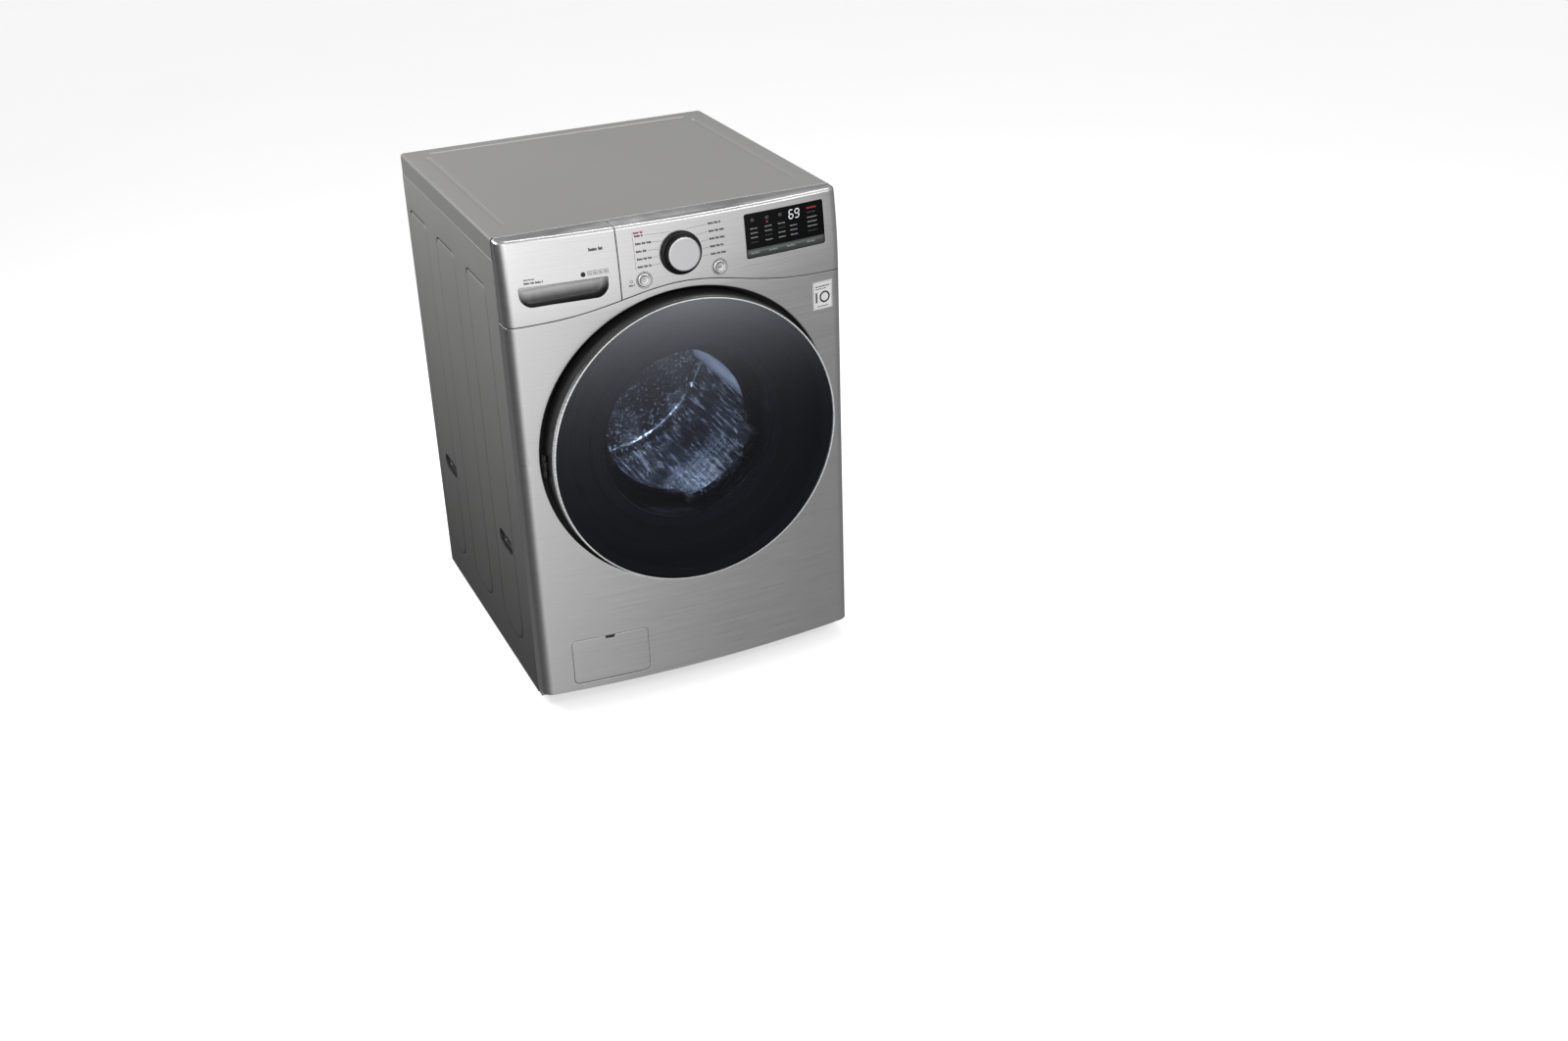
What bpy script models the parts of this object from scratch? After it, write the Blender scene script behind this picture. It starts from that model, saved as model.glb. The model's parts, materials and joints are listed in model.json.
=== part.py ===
"""Front load washing machine, 27-inch class, as separate pieces.

Metres, +Z up. The origin is at the centre of the footprint, on the floor.
-Y is the front (door and controls), +X is the right side seen from the front.
"""

import math

import bmesh
import bpy
from mathutils import Matrix, Vector

# ---------------------------------------------------------------- driving dimensions
WIDTH = 0.686
HEIGHT = 0.990
BACK_Y = 0.3885            # rear face of the service cover
GLASS_FRONT_Y = -0.3885    # centre of the door's domed glass
SEAM_Y = -0.2765           # side panels and top plate end here, front pieces begin
FOOT_HEIGHT = 0.020
TOP_BOTTOM = 0.9475         # lower edge of the top plate's flange
SHEET = 0.0012             # steel sheet
MOULDING = 0.003           # plastic walls
GAP = 0.0008               # visible shut lines
CLEAR = 0.0003             # between pieces that touch

HALF = WIDTH / 2
FACE_EDGE_Y = SEAM_Y - 0.045   # front face at its two ends
FACE_BOW = 0.025               # how far its middle stands ahead of the ends
CORNER = 0.022                 # rounded vertical corners
FACE_STEP = 0.045              # width of the facets that follow the bow
LEAN = 0.015                   # the control panel leans back this much at the top
LEAN_START = 0.828
FRONT_BOTTOM = 0.036
LEAN_LEVELS = (LEAN_START, 0.869, 0.910, 0.950)   # heights at which the lean is sectioned
SEAM_Z = 0.828                 # between front panel and control panel, at the ends
SEAM_ARCH = 0.042              # rise of that seam over the door
SEAM_SPREAD = 0.170

DOOR_Z = 0.5505
OPENING_R = 0.305
RING_R = 0.2965
RING_LEDGE_R = 0.2720          # inner edge of the ledge that carries the glass
GLASS_R = 0.2915
GLASS_RISE = 0.010             # dome of the glass
GLASS_THICK = 0.004
BOWL_R = 0.178
FRAME_R = 0.2915
FRAME_Y = -0.3290              # front of the door's inner frame
HINGE_X, HINGE_Y = -0.3005, -0.340
FLOOR_Y = -0.3115              # floor of the recess around the door

DRUM_R = 0.280
TUB_R = 0.304
DRUM_FRONT, DRUM_BACK = -0.229, 0.243

DRAWER_X = -0.1225             # shut line between drawer front and control panel
KNOB_Z = 0.925
BUTTON_X, BUTTON_Z = 0.0765, 0.885
BUTTON_R = 0.0128
COVER_X, COVER_Z = -0.2005, 0.1005   # centre of the drain filter's cover
COVER_W, COVER_H = 0.160, 0.101
PUMP_X, PUMP_Z = COVER_X, COVER_Z
FOOT_X, FOOT_FRONT_Y, FOOT_BACK_Y = 0.295, -0.235, 0.335
FEET = {
    "foot_front_left": (-FOOT_X, FOOT_FRONT_Y),
    "foot_front_right": (FOOT_X, FOOT_FRONT_Y),
    "foot_back_left": (-FOOT_X, FOOT_BACK_Y),
    "foot_back_right": (FOOT_X, FOOT_BACK_Y),
}
DISPLAY_CENTRE = (0.2215, 0.9305)
DISPLAY_W, DISPLAY_H = 0.173, 0.085
DISPLAY_CORNER = 0.004
LIFTER_START = 100             # degrees from straight up, clockwise seen from the front
HOLD_YS, HOLD_Z = (-0.1445, 0.2700), 0.310
INLET_XS, INLET_Z = (0.170, 0.235), 0.905
GLAND_X = -0.270
DRAIN_X, DRAIN_Z = 0.285, 0.840
SERVICE_Z = DOOR_Z - 0.02
OUTLET = (-0.2000, -0.0500)    # where the dispenser drains, in plan

STEPS = 32                     # facets of the tub, the drum and what is in them
DOOR_STEPS = 48                # facets of the door and its opening

# ---------------------------------------------------------------- scene and materials


def clear_scene():
    for item in list(bpy.data.objects):
        bpy.data.objects.remove(item, do_unlink=True)


def new_collection(name):
    group = bpy.data.collections.new(name)
    bpy.context.scene.collection.children.link(group)
    return group


clear_scene()
PARTS = new_collection("washing_machine")
CUTTERS = new_collection("cutters")

LOOKS = {
    "steel_front": ((0.62, 0.62, 0.63), 0.30, 0.9),
    "painted_grey": ((0.32, 0.31, 0.31), 0.42, 0.3),
    "painted_dark": ((0.15, 0.15, 0.15), 0.45, 0.3),
    "zinc": ((0.55, 0.56, 0.57), 0.40, 0.9),
    "stainless": ((0.70, 0.71, 0.72), 0.22, 1.0),
    "black_plastic": ((0.02, 0.02, 0.022), 0.40, 0.0),
    "grey_plastic": ((0.30, 0.31, 0.32), 0.50, 0.0),
    "white_plastic": ((0.75, 0.75, 0.74), 0.50, 0.0),
    "chrome": ((0.80, 0.80, 0.81), 0.10, 1.0),
    "silver": ((0.66, 0.66, 0.67), 0.28, 0.8),
    "dark_glass": ((0.03, 0.035, 0.04), 0.05, 0.0),
    "clear_glass": ((0.80, 0.86, 0.88), 0.03, 0.0),
    "gasket_rubber": ((0.24, 0.25, 0.26), 0.70, 0.0),
    "concrete": ((0.42, 0.41, 0.39), 0.90, 0.0),
    "cast_aluminium": ((0.55, 0.55, 0.56), 0.50, 0.9),
    "copper": ((0.55, 0.28, 0.15), 0.40, 0.9),
    "black_rubber": ((0.03, 0.03, 0.03), 0.80, 0.0),
}


def material(name):
    made = bpy.data.materials.get(name)
    if made:
        return made
    colour, roughness, metallic = LOOKS[name]
    made = bpy.data.materials.new(name)
    made.use_nodes = True
    shader = made.node_tree.nodes["Principled BSDF"]
    shader.inputs["Base Color"].default_value = (*colour, 1)
    shader.inputs["Roughness"].default_value = roughness
    shader.inputs["Metallic"].default_value = metallic
    return made


# ---------------------------------------------------------------- making shapes


def place(name, mesh, look=None, matrix=None):
    """An object: a part with its look, or, with no look, a hidden cutter."""
    obj = bpy.data.objects.new(name, mesh)
    if matrix is not None:
        obj.matrix_world = matrix
    if look is None:
        obj.hide_render = True
        obj.display_type = "WIRE"
        CUTTERS.objects.link(obj)
    else:
        mesh.materials.append(material(look))
        PARTS.objects.link(obj)
    return obj


def finish(bm, name):
    bmesh.ops.recalc_face_normals(bm, faces=bm.faces)
    mesh = bpy.data.meshes.new(name)
    bm.to_mesh(mesh)
    bm.free()
    return mesh


def box(name, low, high, look=None, bevel=0.0):
    low, high = Vector(low), Vector(high)
    bm = bmesh.new()
    bmesh.ops.create_cube(bm, size=1.0)
    bmesh.ops.scale(bm, vec=high - low, verts=bm.verts)
    obj = place(name, finish(bm, name), look, Matrix.Translation((low + high) / 2))
    if bevel:
        add_bevel(obj, bevel)
    return obj


def cylinder(name, radius, start, end, look=None, steps=18):
    start, end = Vector(start), Vector(end)
    along = end - start
    bm = bmesh.new()
    bmesh.ops.create_cone(
        bm, cap_ends=True, segments=steps, radius1=radius, radius2=radius, depth=along.length,
    )
    turn = along.to_track_quat("Z", "Y").to_matrix().to_4x4()
    middle = Matrix.Translation((start + end) / 2)
    obj = place(name, finish(bm, name), look, middle @ turn)
    smooth(obj)
    return obj


def smooth(obj, angle=math.radians(35)):
    obj.data.shade_smooth()
    obj.data.set_sharp_from_angle(angle=angle)


def add_bevel(obj, width, segments=2):
    bevel = obj.modifiers.new("edges", "BEVEL")
    bevel.width = width
    bevel.segments = segments
    bevel.limit_method = "ANGLE"
    bevel.angle_limit = math.radians(50)


def boolean(obj, other, operation="DIFFERENCE"):
    step = obj.modifiers.new(other.name, "BOOLEAN")
    step.operation = operation
    step.solver = "EXACT"
    step.object = other
    return obj


def solidify(obj, thickness, offset=0.0):
    shell = obj.modifiers.new("thickness", "SOLIDIFY")
    shell.thickness = thickness
    shell.offset = offset
    shell.use_even_offset = True


FACING_FRONT = Matrix.Rotation(math.pi / 2, 4, "X")   # local +Z turns to -Y


def turned(name, profile, look=None, centre=(0, 0, DOOR_Z), frame=FACING_FRONT, steps=STEPS,
           sheet=0.0):
    """A profile of (radius, y) points turned about the Y axis through centre.

    Without sheet it is a closed outline. With sheet it is an open line of that thickness.
    """
    points = [(radius, -along) for radius, along in profile]
    if not sheet and signed_area(points) > 0:
        points.reverse()
    bm = bmesh.new()
    verts = [bm.verts.new((radius, 0, height)) for radius, height in points]
    last = len(verts) if not sheet else len(verts) - 1
    for i in range(last):
        bm.edges.new((verts[i], verts[(i + 1) % len(verts)]))
    mesh = bpy.data.meshes.new(name)
    bm.to_mesh(mesh)
    bm.free()
    obj = place(name, mesh, look, Matrix.Translation(centre) @ frame)
    screw = obj.modifiers.new("turn", "SCREW")
    screw.steps = screw.render_steps = steps
    screw.use_merge_vertices = True
    screw.merge_threshold = 0.00001
    screw.use_smooth_shade = True
    if sheet:
        solidify(obj, sheet)
    return obj


def signed_area(points):
    total = 0.0
    for i, (x0, y0) in enumerate(points):
        x1, y1 = points[(i + 1) % len(points)]
        total += x0 * y1 - x1 * y0
    return total / 2


def prism(name, outline, axis, low, high, look=None):
    """A flat outline pushed from low to high along 'X', 'Y' or 'Z'."""
    place_at = {
        "X": lambda a, b, c: (c, a, b),
        "Y": lambda a, b, c: (a, c, b),
        "Z": lambda a, b, c: (a, b, c),
    }[axis]
    bm = bmesh.new()
    face = bm.faces.new([bm.verts.new(place_at(a, b, low)) for a, b in outline])
    pushed = bmesh.ops.extrude_face_region(bm, geom=[face])
    moved = [item for item in pushed["geom"] if isinstance(item, bmesh.types.BMVert)]
    bmesh.ops.translate(bm, vec=Vector(place_at(0, 0, high - low)), verts=moved)
    return place(name, finish(bm, name), look)


def rounded(centre_a, centre_b, width, height, radius, arc=4):
    """Outline of a rectangle with round corners."""
    points = []
    for corner, (side_a, side_b) in enumerate([(1, 1), (-1, 1), (-1, -1), (1, -1)]):
        a = centre_a + side_a * (width / 2 - radius)
        b = centre_b + side_b * (height / 2 - radius)
        for i in range(arc + 1):
            turn = math.pi / 2 * (corner + i / arc)
            points.append((a + radius * math.cos(turn), b + radius * math.sin(turn)))
    return points


def hose(name, points, radius, look, sides=2):
    """A round tube along a smooth curve through the points."""
    curve = bpy.data.curves.new(name, "CURVE")
    curve.dimensions = "3D"
    curve.bevel_depth = radius
    curve.bevel_resolution = sides
    curve.use_fill_caps = True
    spline = curve.splines.new("POLY")
    spline.points.add(len(points) - 1)
    for point, co in zip(spline.points, points):
        point.co = (*co, 1)
    return place(name, curve, look)


def through(points, per_span=4):
    """Catmull-Rom curve through the points."""
    ends = [points[0], *points, points[-1]]
    line = []
    for i in range(1, len(ends) - 2):
        a, b, c, d = (Vector(p) for p in ends[i - 1:i + 3])
        for k in range(per_span):
            t = k / per_span
            line.append(0.5 * (2 * b + (c - a) * t + (2 * a - 5 * b + 4 * c - d) * t * t
                               + (3 * b - a - 3 * c + d) * t ** 3))
    return [*line, Vector(points[-1])]


# ---------------------------------------------------------------- the bowed front


def face_y(x, z):
    """The front surface: bowed in plan, leaning back above the door."""
    rise = max(0.0, (z - LEAN_START) / (HEIGHT - LEAN_START))
    return FACE_EDGE_Y - FACE_BOW * (1 - (x / HALF) ** 2) + LEAN * rise ** 2


def face_slopes(x, z):
    rise = max(0.0, (z - LEAN_START) / (HEIGHT - LEAN_START))
    return 2 * FACE_BOW * x / HALF ** 2, 2 * LEAN * rise / (HEIGHT - LEAN_START)


def face_normal(x, z):
    slope_x, slope_z = face_slopes(x, z)
    return Vector((slope_x, -1, slope_z)).normalized()


def seam_z(x):
    return SEAM_Z + SEAM_ARCH * math.exp(-(x / SEAM_SPREAD) ** 2)


def plan(z, inset, x_from, x_to, back):
    """Section of the front at one height: back edge, round corners and bowed face."""
    reach = HALF - inset
    radius = CORNER - inset
    flat = HALF - CORNER
    left, right = x_from <= -HALF, x_to >= HALF
    edge = face_y(flat, z) + inset
    line = []
    turns = [i * math.pi / 8 for i in range(5)]
    if left:
        line += [(-reach, back)]
        line += [(-flat - radius * math.cos(t), edge + radius - radius * math.sin(t)) for t in turns[:-1]]
    else:
        line += [(x_from + inset, back)]
    start = -flat if left else x_from + inset
    end = flat if right else x_to - inset
    count = max(5, round((end - start) / FACE_STEP))
    for i in range(count + 1):
        x = start + (end - start) * i / count
        line.append((x, face_y(x, z) + inset))
    if right:
        line += [(flat + radius * math.sin(t), edge + radius - radius * math.cos(t)) for t in turns[1:]]
        line += [(reach, back)]
    else:
        line += [(x_to - inset, back)]
    return line


def front_block(name, inset, x_from, x_to, heights, back, round_top=0.0, look=None):
    """A solid lofted through the front's sections at the given heights."""
    bm = bmesh.new()
    rings = []
    for z in heights:
        rings.append([bm.verts.new((x, y, z)) for x, y in plan(z, inset, x_from, x_to, back)])
    for lower, upper in zip(rings, rings[1:]):
        for i in range(len(lower)):
            j = (i + 1) % len(lower)
            bm.faces.new((lower[i], lower[j], upper[j], upper[i]))
    bm.faces.new(rings[0])
    top = bm.faces.new(rings[-1])
    if round_top:
        edges = [edge for edge in top.edges
                 if any(vert.co.y < back - 0.001 for vert in edge.verts)]
        bmesh.ops.bevel(bm, geom=edges, offset=round_top, segments=2, affect="EDGES",
                        profile=0.5)
    return place(name, finish(bm, name), look)


def under_seam(name, shift):
    """Everything below the seam between front panel and control panel."""
    count, reach, foot = 22, 0.36, -0.1
    xs = [reach * (2 * i / count - 1) for i in range(count + 1)]
    outline = [(x, seam_z(x) + shift) for x in xs] + [(reach, foot), (-reach, foot)]
    return prism(name, outline, "Y", -0.45, -0.20)


def make_front_panel():
    arch = [LEAN_START, 0.850]
    body = front_block("front_panel", 0.0, -HALF, HALF, [FRONT_BOTTOM, *arch, 0.872], SEAM_Y + 0.003,
                       look="steel_front")
    hollow = front_block("front_hollow", SHEET, -HALF, HALF, [0.0, *arch, 0.90], 0.0)
    keep = cylinder("opening_wall", OPENING_R + SHEET, (0, -0.45, DOOR_Z), (0, FLOOR_Y - CLEAR, DOOR_Z),
                    steps=DOOR_STEPS)
    boolean(hollow, keep)
    boolean(body, hollow)
    boolean(body, cylinder("opening_cut", OPENING_R, (0, -0.46, DOOR_Z), (0, -0.2, DOOR_Z), steps=DOOR_STEPS))
    boolean(body, under_seam("front_top_cut", -GAP / 2), "INTERSECT")
    outline = rounded(COVER_X, COVER_Z, COVER_W, COVER_H, 0.010)
    boolean(body, prism("cover_cut", outline, "Y", -0.45, -0.29))


def fascia(name, x_from, x_to):
    """A moulded piece of the control panel: front, ends and top, open at the back."""
    body = front_block(name, 0.0, x_from, x_to, [0.815, *LEAN_LEVELS, HEIGHT], SEAM_Y - GAP, 0.004,
                       "steel_front")
    inner = [0.80, *LEAN_LEVELS, HEIGHT - MOULDING]
    boolean(body, front_block(name + "_hollow", MOULDING, x_from, x_to, inner, -0.25))
    boolean(body, under_seam(name + "_bottom", GAP / 2))
    return body


def make_control_panel():
    panel = fascia("control_panel", DRAWER_X + GAP / 2, HALF)
    for side, name in ((-1, "power"), (1, "start")):
        x = side * BUTTON_X
        centre = Vector((x, face_y(x, BUTTON_Z), BUTTON_Z))
        along = face_normal(x, BUTTON_Z)
        hole = cylinder(name + "_hole", BUTTON_R + 0.0005, centre - along * 0.02, centre + along * 0.01)
        boolean(panel, hole)
    centre = Vector((0, face_y(0, KNOB_Z), KNOB_Z))
    along = face_normal(0, KNOB_Z)
    boolean(panel, cylinder("knob_hole", 0.0075, centre - along * 0.02, centre + along * 0.01))
    outline = rounded(*DISPLAY_CENTRE, DISPLAY_W + 2 * CLEAR, DISPLAY_H + 2 * CLEAR, DISPLAY_CORNER)
    boolean(panel, prism("display_hole", outline, "Y", -0.40, -0.30))


def skin_piece(name, outline, look, thickness):
    """A piece of the front's own surface inside an outline seen from the front."""
    body = prism(name, outline, "Y", -0.42, -0.20, look)
    levels = [0.02, *LEAN_LEVELS, HEIGHT + 0.001]
    boolean(body, front_block(name + "_outer", 0.0, -HALF, HALF, levels, -0.1), "INTERSECT")
    boolean(body, front_block(name + "_inner", thickness, -HALF, HALF, levels, -0.15))
    return body


def make_display():
    outline = rounded(*DISPLAY_CENTRE, DISPLAY_W, DISPLAY_H, DISPLAY_CORNER)
    skin_piece("display_window", outline, "dark_glass", 0.0025)
    box("control_board", (-0.100, -0.306, 0.895), (0.300, -0.284, 0.972), "white_plastic", bevel=0.003)


def make_drawer():
    front = fascia("drawer_front", -HALF, DRAWER_X - GAP / 2)
    boolean(front, box("pocket_block", (-0.3165, -0.345, 0.8605), (-0.1415, -0.300, 0.9080)), "UNION")
    trim = front_block("drawer_face_trim", 0.0, -HALF, HALF, [0.80, *LEAN_LEVELS, HEIGHT + 0.001], -0.2)
    boolean(front, trim, "INTERSECT")
    boolean(front, prism("pocket_cut", pocket_outline(), "Y", -0.40, -0.3045))
    tray = box("drawer_tray", (-0.3200, -0.2990, 0.9000), (-0.1410, -0.0200, 0.9650), "white_plastic")
    for i, (x0, x1) in enumerate([(-0.3175, -0.2600), (-0.2575, -0.2000), (-0.1975, -0.1435)]):
        boolean(tray, box(f"compartment_{i + 1}", (x0, -0.2965, 0.9025), (x1, -0.0225, 0.9800)))
    link = box("drawer_link", (-0.305, -0.3140, 0.9085), (-0.156, -0.2985, 0.9300))
    boolean(tray, link, "UNION")


def pocket_outline():
    """Finger pocket in the drawer: square above, well rounded below."""
    left, right, top, bottom, radius = -0.3125, -0.1455, 0.9030, 0.8655, 0.024
    turns = [math.pi / 2 * i / 6 for i in range(7)]
    foot = bottom + radius
    points = [(right, top), (left, top)]
    points += [(left + radius - radius * math.cos(t), foot - radius * math.sin(t)) for t in turns]
    points += [(right - radius + radius * math.sin(t), foot - radius * math.cos(t)) for t in turns]
    return points


def make_dispenser():
    housing = box("dispenser_housing", (-0.3290, -0.2700, 0.8900), (-0.1330, 0.0200, 0.9750), "grey_plastic")
    boolean(housing, box("housing_hollow", (-0.3260, -0.2800, 0.8930), (-0.1360, 0.0170, 0.9720)))
    boolean(housing, cylinder("housing_outlet_cut", 0.016, (*OUTLET, 0.880), (*OUTLET, 0.900)))
    ribs = [(0.021 + 0.004 * (i % 2), -0.0865 + i * 0.0108) for i in range(9)]
    turned("dispenser_hose", ribs, "black_rubber", (*OUTLET, 0.8022), Matrix.Identity(4), 14, sheet=0.002)


def make_controls():
    centre = Vector((0, face_y(0, KNOB_Z), KNOB_Z))
    along = face_normal(0, KNOB_Z)
    frame = along.to_track_quat("Z", "Y").to_matrix().to_4x4()
    skirt = [(0.0, 0.010), (0.0068, 0.010), (0.0068, -0.0012), (0.0405, -0.0012), (0.0415, -0.0030),
             (0.0405, -0.0050), (0.0350, -0.0060), (0.0325, -0.0185), (0.0, -0.0185)]
    turned("knob_skirt", skirt, "black_plastic", centre, frame, 32)
    cap = [(0.0, -0.0188), (0.0318, -0.0188), (0.0318, -0.0200), (0.0308, -0.0212), (0.0, -0.0212)]
    turned("knob_cap", cap, "silver", centre, frame, 32)
    for side, name in ((-1, "power_button"), (1, "start_button")):
        x = side * BUTTON_X
        spot = Vector((x, face_y(x, BUTTON_Z), BUTTON_Z))
        out = face_normal(x, BUTTON_Z)
        outline = [(0.0, 0.0120), (BUTTON_R - 0.003, 0.0120), (BUTTON_R - 0.003, 0.0050), (BUTTON_R, 0.0050),
                   (BUTTON_R, -0.0012), (BUTTON_R - 0.0008, -0.0020), (0.0, -0.0020)]
        turned(name, outline, "silver", spot, out.to_track_quat("Z", "Y").to_matrix().to_4x4(), 20)


# ---------------------------------------------------------------- cabinet


def make_base():
    base = box("base_frame", (-0.3410, -0.2900, FOOT_HEIGHT), (0.3410, 0.3840, 0.060), "zinc")
    boolean(base, box("base_hollow", (-0.3395, -0.2885, FOOT_HEIGHT + 0.0015), (0.3395, 0.3825, 0.070)))
    for i, (x, y) in enumerate(FEET.values()):
        boolean(base, cylinder(f"foot_hole_{i + 1}", 0.0063, (x, y, 0.0), (x, y, 0.05), steps=20))
    boolean(base, box("base_vent", (-0.12, -0.10, 0.0), (0.12, 0.22, 0.05)))


def make_feet():
    for name, (x, y) in FEET.items():
        outline = [(0.0, 0.0), (0.021, 0.0), (0.023, 0.003), (0.021, 0.009), (0.013, 0.011), (0.013, 0.0185),
                   (0.0060, 0.0185), (0.0060, 0.052), (0.0, 0.052)]
        turned(name, [(r, -z) for r, z in outline], "black_rubber", (x, y, 0.0), Matrix.Identity(4), 16)


def hand_hold(name, side, y, deep, grow):
    low, high = sorted((side * (HALF + grow), side * (HALF - deep)))
    outline = rounded(y, HOLD_Z, 0.088 - grow, 0.034 - grow, 0.0165 - grow / 2)
    return prism(name, outline, "X", low, high)


def make_side(name, side):
    low, high = sorted((side * HALF, side * (HALF - SHEET)))
    panel = box(name, (low, SEAM_Y + 0.0042, FOOT_HEIGHT), (high, 0.3855, 0.9470), "painted_dark")
    rail_low, rail_high = sorted((side * (HALF - 0.0008), side * 0.3030))
    boolean(panel, box(name + "_rail", (rail_low, -0.2500, 0.8580), (rail_high, 0.3600, 0.8760)), "UNION")
    for i, y in enumerate(HOLD_YS):
        boolean(panel, hand_hold(f"{name}_cup_{i + 1}", side, y, 0.0120, -0.0006), "UNION")
        boolean(panel, hand_hold(f"{name}_hold_{i + 1}", side, y, 0.0106, 0.0024))


def make_rear():
    panel = box("rear_panel", (-0.3414, 0.3859, FOOT_HEIGHT), (0.3414, 0.3867, 0.9470), "zinc")
    boolean(panel, prism("service_hole", rounded(0, SERVICE_Z, 0.40, 0.46, 0.04), "Y", 0.37, 0.40))
    holes = [("gland_hole", 0.0115, GLAND_X, INLET_Z), ("drain_hole", 0.0185, DRAIN_X, DRAIN_Z)]
    holes += [(f"inlet_hole_{i + 1}", 0.0155, x, INLET_Z) for i, x in enumerate(INLET_XS)]
    for name, radius, x, z in holes:
        boolean(panel, cylinder(name, radius, (x, 0.37, z), (x, 0.40, z)))
    prism("rear_service_cover", rounded(0, SERVICE_Z, 0.44, 0.50, 0.05), "Y", 0.3871, BACK_Y, "zinc")
    valve = box("inlet_valve", (0.145, 0.3350, 0.885), (0.260, 0.3640, 0.925), "white_plastic")
    for i, x in enumerate(INLET_XS):
        thread = cylinder(f"thread_{i + 1}", 0.0132, (x, 0.360, INLET_Z), (x, 0.3880, INLET_Z))
        boolean(valve, thread, "UNION")
        boolean(valve, cylinder(f"thread_bore_{i + 1}", 0.0090, (x, 0.368, INLET_Z), (x, 0.4000, INLET_Z)))
    gland = [(0.0045, 0.3700), (0.0150, 0.3700), (0.0150, 0.3855), (0.0110, 0.3855), (0.0110, 0.3884),
             (0.0045, 0.3884)]
    turned("cord_gland", gland, "black_plastic", (GLAND_X, 0, INLET_Z), steps=24)


def rounded_top(half, top, radius, arc=3):
    """The two round upper corners of a section, right one first."""
    turns = [math.pi / 2 * i / arc for i in range(arc + 1)]
    right = [(half - radius + radius * math.cos(t), top - radius + radius * math.sin(t)) for t in turns]
    return right + [(-x, z) for x, z in reversed(right)]


def make_top():
    section = [(HALF, TOP_BOTTOM), *rounded_top(HALF, HEIGHT, 0.006), (-HALF, TOP_BOTTOM)]
    plate = prism("top_plate", section, "Y", SEAM_Y, 0.3880, "painted_grey")
    inside = HALF - 0.002
    hollow = box("top_hollow", (-inside, SEAM_Y - 0.010, 0.930), (inside, 0.3860, HEIGHT - 0.0025))
    boolean(plate, hollow)
    boolean(plate, prism("groove_back", rounded(0, 0.3485, 0.584, 0.013, 0.0064), "Z", 0.9888, 1.0))
    for side, name in ((-1, "groove_left"), (1, "groove_right")):
        outline = rounded(side * 0.2985, 0.0555, 0.013, 0.536, 0.0064)
        boolean(plate, prism(name, outline, "Z", 0.9888, 1.0))


# ---------------------------------------------------------------- door


def make_surround():
    radius = OPENING_R - GAP
    ring = [(radius, FLOOR_Y), (radius, FLOOR_Y + 0.003), (0.2250, FLOOR_Y + 0.003), (0.2250, -0.2960),
            (0.2225, -0.2960), (0.2225, FLOOR_Y)]
    surround = turned("door_surround", ring, "black_plastic", steps=DOOR_STEPS)
    boolean(surround, box("hook_slot", (0.232, -0.33, DOOR_Z - 0.016), (0.258, -0.30, DOOR_Z + 0.016)))
    lock = box("door_lock", (0.2280, -0.3080, DOOR_Z - 0.045), (0.2660, -0.2725, DOOR_Z + 0.045),
               "black_plastic")
    boolean(lock, box("lock_slot", (0.2320, -0.3200, DOOR_Z - 0.016), (0.2580, -0.2830, DOOR_Z + 0.016)))
    folds = [(0.1840, -0.3070), (0.2185, -0.3070), (0.2190, -0.2920), (0.2010, -0.2860), (0.2010, -0.2740),
             (0.2105, -0.2680), (0.2105, -0.2500)]
    turned("door_gasket", folds, "gasket_rubber", sheet=0.003)


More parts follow.
